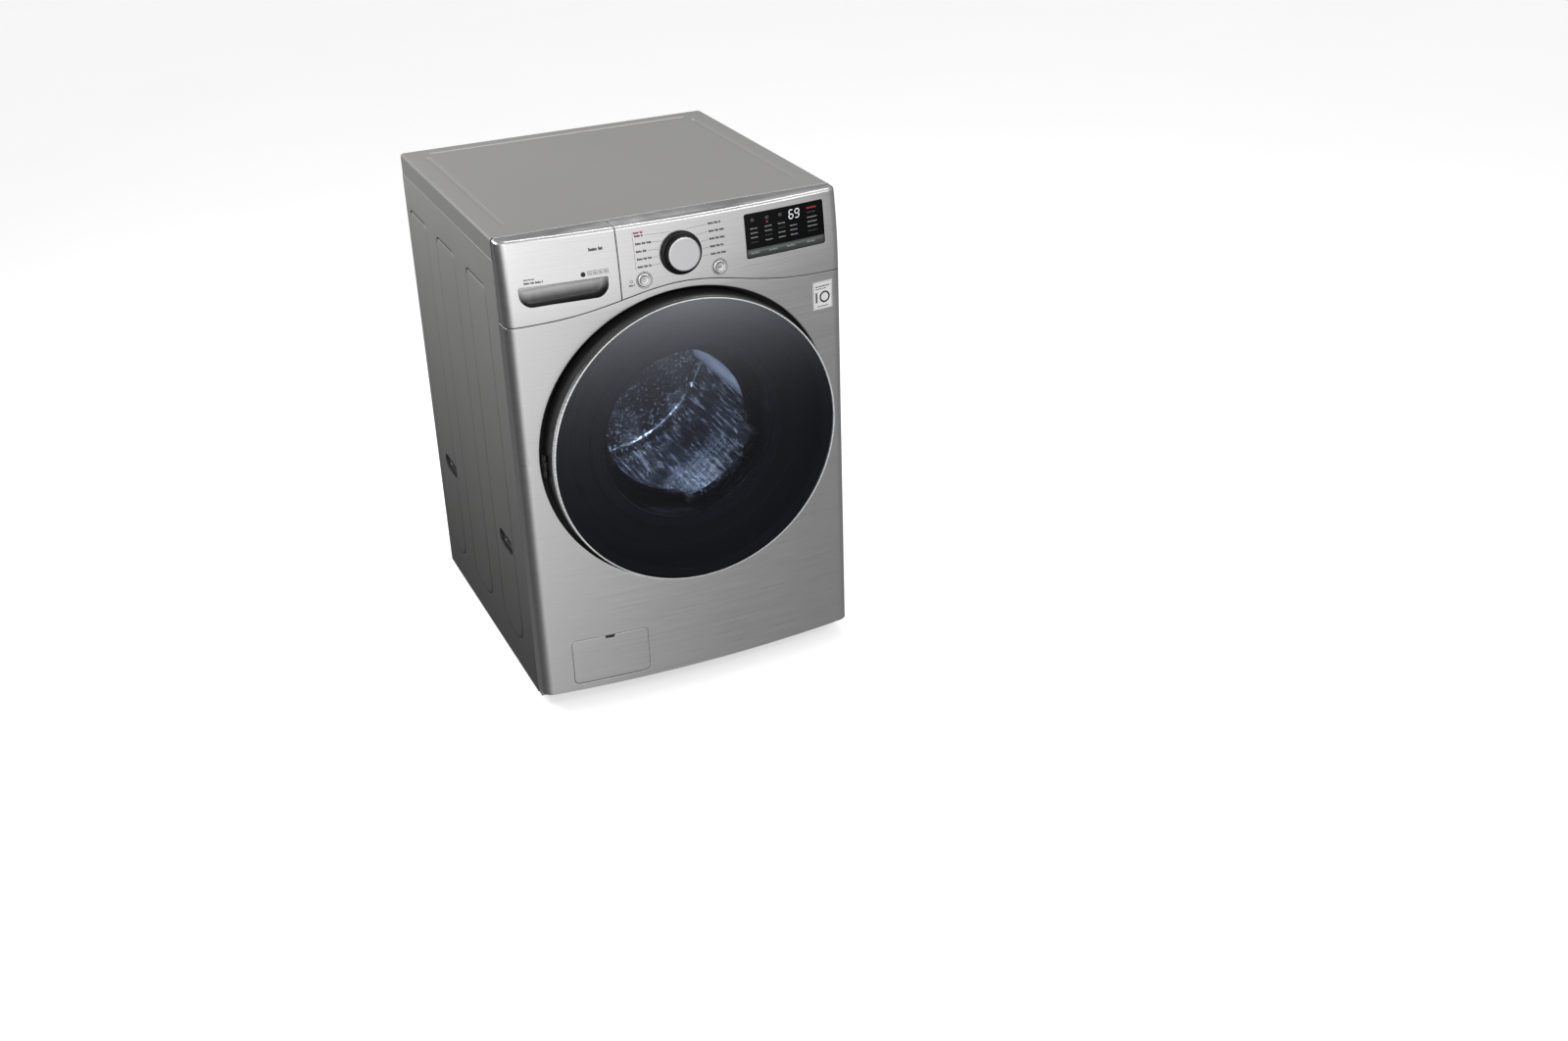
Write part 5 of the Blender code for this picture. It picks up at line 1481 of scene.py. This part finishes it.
def perforated(bm, columns, rows, place, hole, skip, lip=0.0011):
    """A sheet of square cells, each with an eight-sided hole whose edge is pressed outwards.

    place(a, b) gives the point at column a and row b; columns wrap round.
    """
    grid = [[bm.verts.new(place(a, b)[0]) for a in range(columns)] for b in range(rows + 1)]
    turns = [math.pi / 8 + math.pi / 4 * k for k in range(8)]
    for b in range(rows):
        for a in range(columns):
            beside = (a + 1) % columns
            corners = [grid[b][a], grid[b][beside], grid[b + 1][beside], grid[b + 1][a]]
            if skip(a, b):
                bm.faces.new(corners)
                continue
            across = (corners[1].co - corners[0].co).length
            up = (corners[3].co - corners[0].co).length
            spots = [place(a + 0.5 + hole * math.cos(t) / across, b + 0.5 + hole * math.sin(t) / up)
                     for t in turns]
            rim = [bm.verts.new(spot) for spot, _ in spots]
            foot = [bm.verts.new(spot + out * lip) for spot, out in spots]
            for corner, first in ((2, 0), (3, 2), (0, 4), (1, 6)):
                nxt = (first + 1) % 8
                bm.faces.new((corners[corner], rim[nxt], rim[first]))
                bm.faces.new((corners[corner], corners[(corner + 1) % 4], rim[(first + 2) % 8], rim[nxt]))
            for k in range(8):
                bm.faces.new((rim[k], rim[(k + 1) % 8], foot[(k + 1) % 8], foot[k]))


def about_door(radius, y, turn):
    """The point at radius and y, turned from straight up about the door's axis."""
    return Vector((radius * math.sin(turn), y, DOOR_Z + radius * math.cos(turn)))


def make_drum():
    """The stainless drum: rolled front lip, perforated wall and a ribbed, perforated back."""
    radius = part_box("drum_shell")[1].x - 0.0006
    columns, length = round(2 * math.pi * radius / DRUM_PITCH), DRUM_BACK_Y - DRUM_FRONT_Y
    rows, spokes, bands, swelling = round(length / DRUM_PITCH), 72, 15, 0.006
    lifter_turns = [math.radians(LIFTER_START + 120 * i) for i in range(3)]

    def wall(a, b):
        turn = 2 * math.pi * a / columns
        out = Vector((math.sin(turn), 0, math.cos(turn)))
        return about_door(radius, DRUM_FRONT_Y + length * b / rows, turn), out

    def plain(a, b):
        turn = 2 * math.pi * (a + 0.5) / columns
        near = min(abs((turn - t + math.pi) % (2 * math.pi) - math.pi) for t in lifter_turns)
        return near < 0.17 or b in (0, rows - 1) or a % 9 == 0 or b % 12 == 6

    def back(a, b):
        turn = 2 * math.pi * a / spokes
        lobe = 0.5 + 0.5 * math.cos(3 * (turn - lifter_turns[0]))
        y = DRUM_END_Y - swelling * lobe * math.sin(math.pi * b / bands)
        return about_door(BACK_RIM_R + (HUB_R - BACK_RIM_R) * b / bands, y, turn), Vector((0, 1, 0))

    bm = bmesh.new()
    perforated(bm, columns, rows, wall, 0.0031, plain)
    lip = [(0.195, -0.2165), (0.1962, -0.224), (0.199, -0.2285), (0.206, -0.2296), (0.262, -0.2236),
           (0.2745, -0.211), (radius, DRUM_FRONT_Y)]
    add_turned(bm, soften(lip, 0.0035, 4), columns)
    perforated(bm, spokes, bands, back, 0.002, lambda a, b: (a + b) % 2 or b in (0, bands - 1), 0.001)
    add_turned(bm, [(radius, DRUM_BACK_Y), (0.277, 0.233), (0.27, 0.2395), (0.26, DRUM_END_Y),
                    (BACK_RIM_R, DRUM_END_Y)], spokes * 2)
    add_turned(bm, [(HUB_R, DRUM_END_Y), (0.052, 0.24), (0.038, 0.2385), (0.02, 0.238),
                    (0.0, DRUM_HUB_Y)], spokes * 2)
    piece("drum_skin", closed_mesh("drum_skin", bm, recalculate=False), DRUM_GLINT_STEEL, "drum", "stainless",
          ["drum_shell"], sharp=40.0, weighted=False)
    bolt = [(0.0, 0.004), (0.01, 0.004), (0.012, 0.002), (0.0125, 0.0)]
    turned_piece("drum_hub_cap", bolt, (0, DRUM_HUB_Y, DOOR_Z), PLAIN_STEEL, "drum", "stainless", soft=0.001,
                 steps=48)


def add_turned(bm, profile, steps):
    turns = [2 * math.pi * k / steps for k in range(steps)]
    add_strips(bm, [[about_door(r, y, turn) for turn in turns] for r, y in profile], True)


def make_lifters():
    """Three hollow lifters: rounded ridges whose ends slope down to the drum."""
    low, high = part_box("lifter_1")
    floor, slope, steps = 0.2735, 0.045, 40
    half = [(0.014, 0.2205), (0.03, 0.256), (0.04, floor)]
    section = soften([*[(-x, r) for x, r in half[::-1]], (0.0, 0.2155), *half], 0.012, 5)
    for i in range(3):
        name = f"lifter_{i + 1}"
        turn = Matrix.Rotation(math.radians(LIFTER_START + 120 * i), 4, "Y")
        turn = Matrix.Translation((0, 0, DOOR_Z)) @ turn
        rows = []
        for k in range(steps + 1):
            y = low.y + (high.y - low.y) * k / steps
            end = min(1.0, min(y - low.y, high.y - y) / slope)
            share = math.sqrt(max(0.0, 1 - (1 - end) ** 2))
            width = (0.55 + 0.45 * share) * (1 + 0.05 * math.sin(4 * math.pi * k / steps))
            rows.append([turn @ Vector((p.x * width, y, floor - (floor - p.y) * share)) for p in section])
        bm = bmesh.new()
        add_strips(bm, rows, False)
        piece(f"{name}_skin", bm, LIFTER, "drum", "grey_plastic", [name], weighted=False)


# ---------------------------------------------------------------- back, feet and what stays from the CAD


def screw_mesh(name, spots, direction, radius=0.0038):
    """Pan-head screws with a cross recess, one at each spot, joined into one mesh."""
    bm = bmesh.new()
    turn = Vector(direction).normalized().to_track_quat("Z", "Y").to_matrix().to_4x4()
    dome, brow, inner, tip, half = radius * 0.42, 0.86, 0.1, 0.55, 0.1
    lift = Vector((0, 0, dome * 1.15))
    for frame in [Matrix.Translation(spot) @ turn for spot in spots]:
        for a in [math.pi / 2 * k for k in range(4)]:
            outer = [Vector((math.cos(a + math.pi / 24 * j), math.sin(a + math.pi / 24 * j), 0)) * radius
                     for j in range(-6, 7)]
            quarter = Matrix.Rotation(a, 4, "Z")
            slot = [quarter @ Vector((x, y, 0)) * radius
                    for x, y in ((inner, -half), (tip, -half), (tip, half), (inner, half))]
            top = [frame @ (p * brow + Vector((0, 0, dome))) for p in outer]
            side = [frame @ (p + Vector((0, 0, dome * 0.45))) for p in outer]
            add_strips(bm, [[frame @ p for p in outer], side, top], False)
            s = [bm.verts.new(frame @ (p + lift)) for p in slot]
            d = [bm.verts.new(frame @ (p + lift * 0.25)) for p in slot]
            ring = [bm.verts.new(p) for p in top]
            walls = [(s[i], s[i + 1], d[i + 1], d[i]) for i in range(3)]
            for face in ((s[1], s[2], *ring[9:2:-1]), (s[0], s[1], *ring[3::-1]),
                         (s[2], s[3], *ring[12:8:-1]), *walls, d):
                bm.faces.new(face)
        core = [(inner, inner), (-inner, inner), (-inner, -inner), (inner, -inner)]
        bm.faces.new([bm.verts.new(frame @ (Vector((x, y, 0)) * radius + lift * 0.25)) for x, y in core])
    return closed_mesh(name, bm)


def make_rear():
    """The back: its sheet with pressed ribs and vents, the service cover and their screws."""
    low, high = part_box("rear_panel")
    x_end, z0, z1, y = high.x, low.z, high.z, high.y
    outline = densify(rounded(0, (z0 + z1) / 2, 2 * x_end - 2 * EDGE, z1 - z0 - 2 * EDGE, 0.004, 3), 0.02)
    holes = [densify(rounded(0.0, DOOR_Z - 0.02, 0.4, 0.46, 0.04), 0.02),
             *[ring_points(x, INLET_Z, 0.0155, 32) for x in INLET_XS],
             ring_points(-0.27, INLET_Z, 0.0115, 32), ring_points(0.285, 0.84, 0.0185, 32),
             *[rounded(x, z, 0.05, 0.006, 0.0029, 4) for x in VENT_XS for z in VENT_ZS]]
    lines = [densify(grown(at, size, REAR_RIB_HALF * share, REAR_RIB_R), 0.03)
             for at, size in REAR_RIBS for share in (-1, -0.5, 0, 0.5, 1)]

    def ribbed(x, z):
        depth = max(ridge(abs(box_distance(x, z, at, size, REAR_RIB_R)), REAR_RIB_HALF, REAR_RIB_DEPTH)
                    for at, size in REAR_RIBS)
        return Vector((x, y - depth, z))

    bm = bmesh.new()
    grid = crossings(stations(-x_end, x_end, 0.025), stations(z0, z1, 0.025))
    add_region(bm, flat_region(outline, holes, lines, grid, 0.002), ribbed)
    for loop in (outline, *holes):
        chain = flat_chain(loop, lambda a, b: Vector((a, y, b)), (0, 1, 0), hole=loop is not outline)
        add_strips(bm, edge_lines(chain, 0.0004, 0.0025, 2), True)
    piece("rear_skin", bm, ZINC, "cabinet", "zinc_sheet", ["rear_panel"])
    at, cover_y = make_service_cover()
    spots = [(at[0] + sx * 0.195, cover_y, at[1] + sz * 0.225) for sx in (-1, 1) for sz in (-1, 0, 1)]
    spots += [(sx * 0.328, y, z) for sx in (-1, 1) for z in (0.06, 0.35, 0.65, 0.925)]
    spots += [(x, y, 0.932) for x in (-0.2, 0.0, 0.2)]
    piece("rear_screws", screw_mesh("rear_screws", spots, (0, 1, 0)), PLAIN_STEEL, "cabinet", "zinc_sheet",
          weighted=False)


def make_service_cover():
    """The cover over the motor, with five pressed ribs. Returns its middle and where its face is."""
    low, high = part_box("rear_service_cover")
    at, size = front_box("rear_service_cover")
    slope = 0.007
    outline = densify(grown(at, size, -0.001, 0.05, 10), 0.02)
    ribs = [(at[0], at[1] + COVER_RIB_PITCH * k) for k in (-2, -1, 0, 1, 2)]
    lines = [densify(grown(spot, COVER_RIB, -slope * share, COVER_RIB_R), 0.03)
             for spot in ribs for share in (1, 0.5, 0)]

    def ribbed(x, z):
        inside = max(-box_distance(x, z, spot, COVER_RIB, COVER_RIB_R) for spot in ribs) / slope
        rise = 0.5 - 0.5 * math.cos(math.pi * min(1.0, max(0.0, inside)))
        return Vector((x, high.y - COVER_RIB_DEPTH * rise, z))

    bm = bmesh.new()
    grid = crossings(stations(low.x, high.x, 0.02), stations(low.z, high.z, 0.02))
    add_region(bm, flat_region(outline, (), lines, grid, 0.002), ribbed)
    chain = flat_chain(outline, lambda x, z: Vector((x, high.y, z)), (0, 1, 0))
    add_strips(bm, edge_lines(chain, 0.001, 0.0014, 4), True)
    piece("service_cover_skin", bm, ZINC, "cabinet", "zinc_sheet", ["rear_service_cover"])
    return at, high.y


def make_connections():
    """Threaded inlets with their coloured bands and filters."""
    per_turn, turns, pitch, crest, root = 48, 5, 0.0021, 0.0131, 0.0122
    start, steps = BACK_Y - 0.0155, 8
    phase = 2 * math.pi / steps
    end = start + pitch * turns
    for name, x, ring in (("cold", INLET_XS[0], BLUE), ("hot", INLET_XS[1], RED_PLASTIC)):
        def around(y, radius):
            """Points round the inlet at y; radius is a function of their turn."""
            return [Vector((x + radius(t) * math.cos(t), y, INLET_Z + radius(t) * math.sin(t)))
                    for t in [2 * math.pi * j / per_turn for j in range(per_turn)]]

        lines = [around(start + pitch * k / steps,
                        lambda t: root + (crest - root) * (0.5 + 0.5 * math.cos(phase * k - t)))
                 for k in range(turns * steps + 1)]
        mouth = [(0.0118, end + 0.0006), (0.0112, BACK_Y - 0.0008), (0.0094, BACK_Y - 0.0008),
                 (0.009, end), (0.009, end - 0.01), (0.0, end - 0.0102)]
        lines += [around(y, lambda t: r) for r, y in mouth]
        bm = bmesh.new()
        add_strips(bm, lines, True)
        piece(f"inlet_thread_{name}", bm, WHITE, "cabinet", "white_plastic")
        collar = [(0.014, 0.0), (0.014, 0.0006), (0.0182, 0.0006), (0.019, 0.0), (0.0182, -0.0004)]
        turned_piece(f"inlet_band_{name}", collar, (x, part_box("rear_panel")[1].y + 0.0004, INLET_Z), ring,
                     "cabinet", steps=64, axis=(0, 1, 0), closed=True)
    make_filters(0.0088, 0.0017, 0.0005, BACK_Y - 0.008)


def make_filters(radius, cell, wire, y):
    """A round wire mesh in each inlet."""
    bm = bmesh.new()
    for x in INLET_XS:
        for c in stations(-0.0085, 0.0085, cell):
            half = math.sqrt(max(0.0, radius ** 2 - c * c))
            if half > 0.001:
                for bar in strip((c, -half), (c, half), wire, 1.0) + strip((-half, c), (half, c), wire, 1.0):
                    bm.faces.new([bm.verts.new((x + p, y, INLET_Z + q)) for p, q in bar])
    filters = piece("inlet_filters", plain_mesh("inlet_filters", bm), PLAIN_STEEL, "cabinet", weighted=False)
    thicken(filters, 0.0004)


def make_feet():
    """Adjustable feet: ribbed rubber pad, hexagon lock nut and threaded stem."""
    pad = [(0.0, 0.0006), (0.015, 0.0006), (0.016, 0.0), (0.0205, 0.0), (0.0225, 0.002), (0.0225, 0.0032),
           (0.0215, 0.004), (0.0222, 0.0048), (0.0212, 0.0058), (0.0218, 0.0066), (0.02, 0.0092),
           (0.013, 0.011), (0.0, 0.011)]
    nut_low, nut_top, chamfer, nut_r = 0.011, 0.0185, 0.0008, 0.013
    nut = [(0.0, nut_low), (0.0118, nut_low), (nut_r, nut_low + chamfer), (nut_r, nut_top - chamfer),
           (0.0118, nut_top), (0.0, nut_top)]
    pitch, root, crest, top = 0.00125, 0.0052, 0.006, 0.052
    stem = [(0.0, nut_top)]
    for k in range(26):
        stem += [(root, nut_top + 0.0001 + pitch * k), (crest, nut_top + 0.0001 + pitch * (k + 0.5))]
    stem += [(0.005, top), (0.0, top)]
    for name in [f"foot_{end}_{side}" for end in ("front", "back") for side in ("left", "right")]:
        low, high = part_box(name)
        place = ((low.x + high.x) / 2, (low.y + high.y) / 2, low.z)
        turned_piece(f"{name}_pad", pad, place, RUBBER, name, "black_rubber", [name], soft=0.0005, steps=64,
                     axis=UP)
        lock = turned_piece(f"{name}_nut", nut, place, ZINC, name, "zinc_sheet", steps=6, axis=UP,
                            weighted=False)
        round_edges(lock, 0.0005, 2)
        turned_piece(f"{name}_stem", stem, place, ZINC, name, "zinc_sheet", steps=32, axis=UP,
                     weighted=False, sharp=20.0)


CAD_LOOKS = {
    ZINC: ("base_frame", "door_latch", "rotor"),
    PLAIN_STEEL: ("bearing_front", "bearing_rear", "spring_left", "spring_right"),
    BLACK: ("hinge_bracket", "hinge_arm", "hinge_pin", "door_lock", "filter_cap", "cord_gland",
            "damper_left", "damper_right"),
    TUB: ("tub_front", "tub_rear"),
    GREY: ("dispenser_housing", "drain_pump"),
    WHITE: ("drawer_tray", "inlet_valve", "pump_impeller", "control_board"),
    CONCRETE: ("front_counterweight", "top_counterweight"),
    RUBBER: ("dispenser_hose", "sump_hose", "drain_hose"),
    ALUMINIUM: ("spider",),
    COPPER: ("stator",),
}
SEEN_EDGES = {"hinge_bracket": 0.0004, "hinge_arm": 0.0004, "door_latch": 0.0004, "door_lock": 0.0006,
              "filter_cap": 0.0008, "drawer_tray": 0.0007, "base_frame": 0.0006}


def dress_cad():
    """The CAD nodes that keep their own shape: looks, and rounded edges where they are seen."""
    for look, name in [(look, name) for look, names in CAD_LOOKS.items() for name in names]:
        obj = frame["nodes"][name]
        obj.data.materials.clear()
        obj.data.materials.append(look)
        obj.data.shade_smooth()
        obj.data.set_sharp_from_angle(angle=math.radians(32))
        if name in SEEN_EDGES:
            weld = obj.modifiers.new("weld", "WELD")
            weld.merge_threshold = 0.00001
            round_edges(obj, SEEN_EDGES[name], 2, 50.0)


def make_tray_fittings():
    """What sits in the detergent drawer: two siphon caps and a level flap."""
    low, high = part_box("drawer_tray")
    floor = low.z + 0.0025
    hood = [(0.0, 0.034), (0.009, 0.034), (0.011, 0.032), (0.011, 0.006), (0.017, 0.0045),
            (0.017, 0.0), (0.0, 0.0)]
    for name, x, look in (("softener", -0.2288, BLUE), ("bleach", -0.1705, GREY)):
        turned_piece(f"siphon_{name}", hood, (x, high.y - 0.06, floor), look, "drawer", "grey_plastic",
                     soft=0.0018, steps=64, axis=UP)
    section = soften([(-0.145, floor + 0.001), (-0.145, floor + 0.046), (-0.142, floor + 0.049),
                      (-0.138, floor + 0.049)], 0.0015)
    bm = bmesh.new()
    xs = stations(-0.316, -0.2615, 0.006)
    add_strips(bm, [[Vector((x, y, z)) for y, z in section] for x in xs], False)
    thicken(piece("level_flap", bm, LEVEL, "drawer", "white_plastic"), 0.0016, 0.0)


# ---------------------------------------------------------------- stage


def make_studio_light():
    """White to the camera; to everything else a dim room with one wide soft source in front."""
    world = bpy.data.worlds.new("studio")
    bpy.context.scene.world = world
    world.use_nodes = True
    sky = Graph(world.node_tree)

    def ramp(value, start, end, low, high):
        return sky.spread(value, low, high, start, end, interpolation_type="SMOOTHSTEP")

    towards = sky.add("TexCoord").outputs["Generated"]
    nearness = sky.add("VectorMath", {0: towards, 1: Vector(SOURCE_TOWARDS).normalized()},
                       operation="DOT_PRODUCT").outputs["Value"]
    height = sky.part(towards, "Z")
    fall = sky.maths("MULTIPLY", ramp(height, *SOURCE_FALL), ramp(height, *SOURCE_CAP))
    source = sky.maths("MULTIPLY", ramp(nearness, *SOURCE_REACH), fall)
    room = ramp(height, *ROOM_RISE)
    for axis, limits in ROOM_SHARES.items():
        room = sky.maths("MULTIPLY", room, ramp(sky.part(towards, axis), *limits))
    lit = sky.nodes["Background"]
    lit.inputs["Color"].default_value = (1.0, 1.0, 1.0, 1)
    sky.links.new(sky.maths("ADD", source, room), lit.inputs["Strength"])
    plain = sky.add("Background", {"Color": (1.0, 1.0, 1.0, 1), "Strength": 1.0})
    camera_ray = sky.add("LightPath").outputs["Is Camera Ray"]
    chosen = sky.add("MixShader", {0: camera_ray, 1: lit.outputs[0], 2: plain.outputs[0]})
    sky.links.new(chosen.outputs[0], sky.nodes["World Output"].inputs["Surface"])


def make_floor():
    """A plain pale floor, which nothing but the camera sees."""
    bm = bmesh.new()
    bmesh.ops.create_grid(bm, x_segments=40, y_segments=40, size=30.0)
    floor = bpy.data.objects.new("floor", plain_mesh("floor", bm))
    bpy.context.scene.collection.objects.link(floor)
    floor.data.materials.append(paper_look())
    floor.visible_glossy = False
    floor.visible_diffuse = False
    floor.visible_shadow = False


def add_lamp(name, spot, aim, size, power):
    """A soft lamp at spot, turned to aim: a disk, or a rectangle where size has two sides."""
    lamp = bpy.data.lights.new(name, "AREA")
    if isinstance(size, tuple):
        lamp.shape = "RECTANGLE"
        lamp.size, lamp.size_y = size
    else:
        lamp.shape = "DISK"
        lamp.size = size
    lamp.energy = power
    obj = bpy.data.objects.new(name, lamp)
    bpy.context.scene.collection.objects.link(obj)
    obj.location = spot
    obj.rotation_mode = "QUATERNION"
    obj.rotation_quaternion = (Vector(aim) - Vector(spot)).to_track_quat("-Z", "Y")
    obj.visible_camera = False


def make_lamps():
    """The studio's lamps, and small ones about the door's mouth, which light the drum."""
    for lamp in LAMPS:
        add_lamp(*lamp)
    axis = Vector((0, 0, DOOR_Z))
    for k, (spot, aim, size, power) in enumerate(DRUM_LAMPS):
        add_lamp(f"drum_lamp_{k + 1}", Vector(spot) + axis, Vector(aim) + axis, size, power)


def make_camera():
    """The camera at the photograph's viewing angle: high, to the left of the front."""
    turn, rise, tilt = map(math.radians, (CAMERA_TURN, CAMERA_RISE, CAMERA_TILT))
    back = Vector((math.sin(turn) * math.cos(rise), -math.cos(turn) * math.cos(rise), math.sin(rise)))
    right = (-back).cross(Vector(UP)).normalized()
    up = back.cross(right)
    across = right * math.cos(tilt) + up * math.sin(tilt)
    above = up * math.cos(tilt) - right * math.sin(tilt)
    lens = bpy.data.cameras.new("camera")
    lens.lens, lens.sensor_width = LENS, SENSOR
    camera = bpy.data.objects.new("camera", lens)
    bpy.context.scene.collection.objects.link(camera)
    camera.matrix_world = Matrix.Translation(CAMERA_AT) @ Matrix((across, above, back)).transposed().to_4x4()
    bpy.context.scene.camera = camera


# ---------------------------------------------------------------- assembly

bpy.context.scene.view_settings.view_transform = "Standard"
make_camera()
make_floor()
make_studio_light()
make_lamps()
make_front_panel()
make_control_panel()
make_drawer_front()
make_pocket()
make_top()
make_side("left", -1)
make_side("right", 1)
make_access_cover()
make_legends()
make_drawer_print()
make_display()
make_sticker()
make_seams()
make_knob()
make_button("power_button", -1)
make_button("start_button", 1)
make_door()
make_surround()
make_drum()
make_lifters()
make_rear()
make_connections()
make_feet()
make_tray_fittings()
dress_cad()
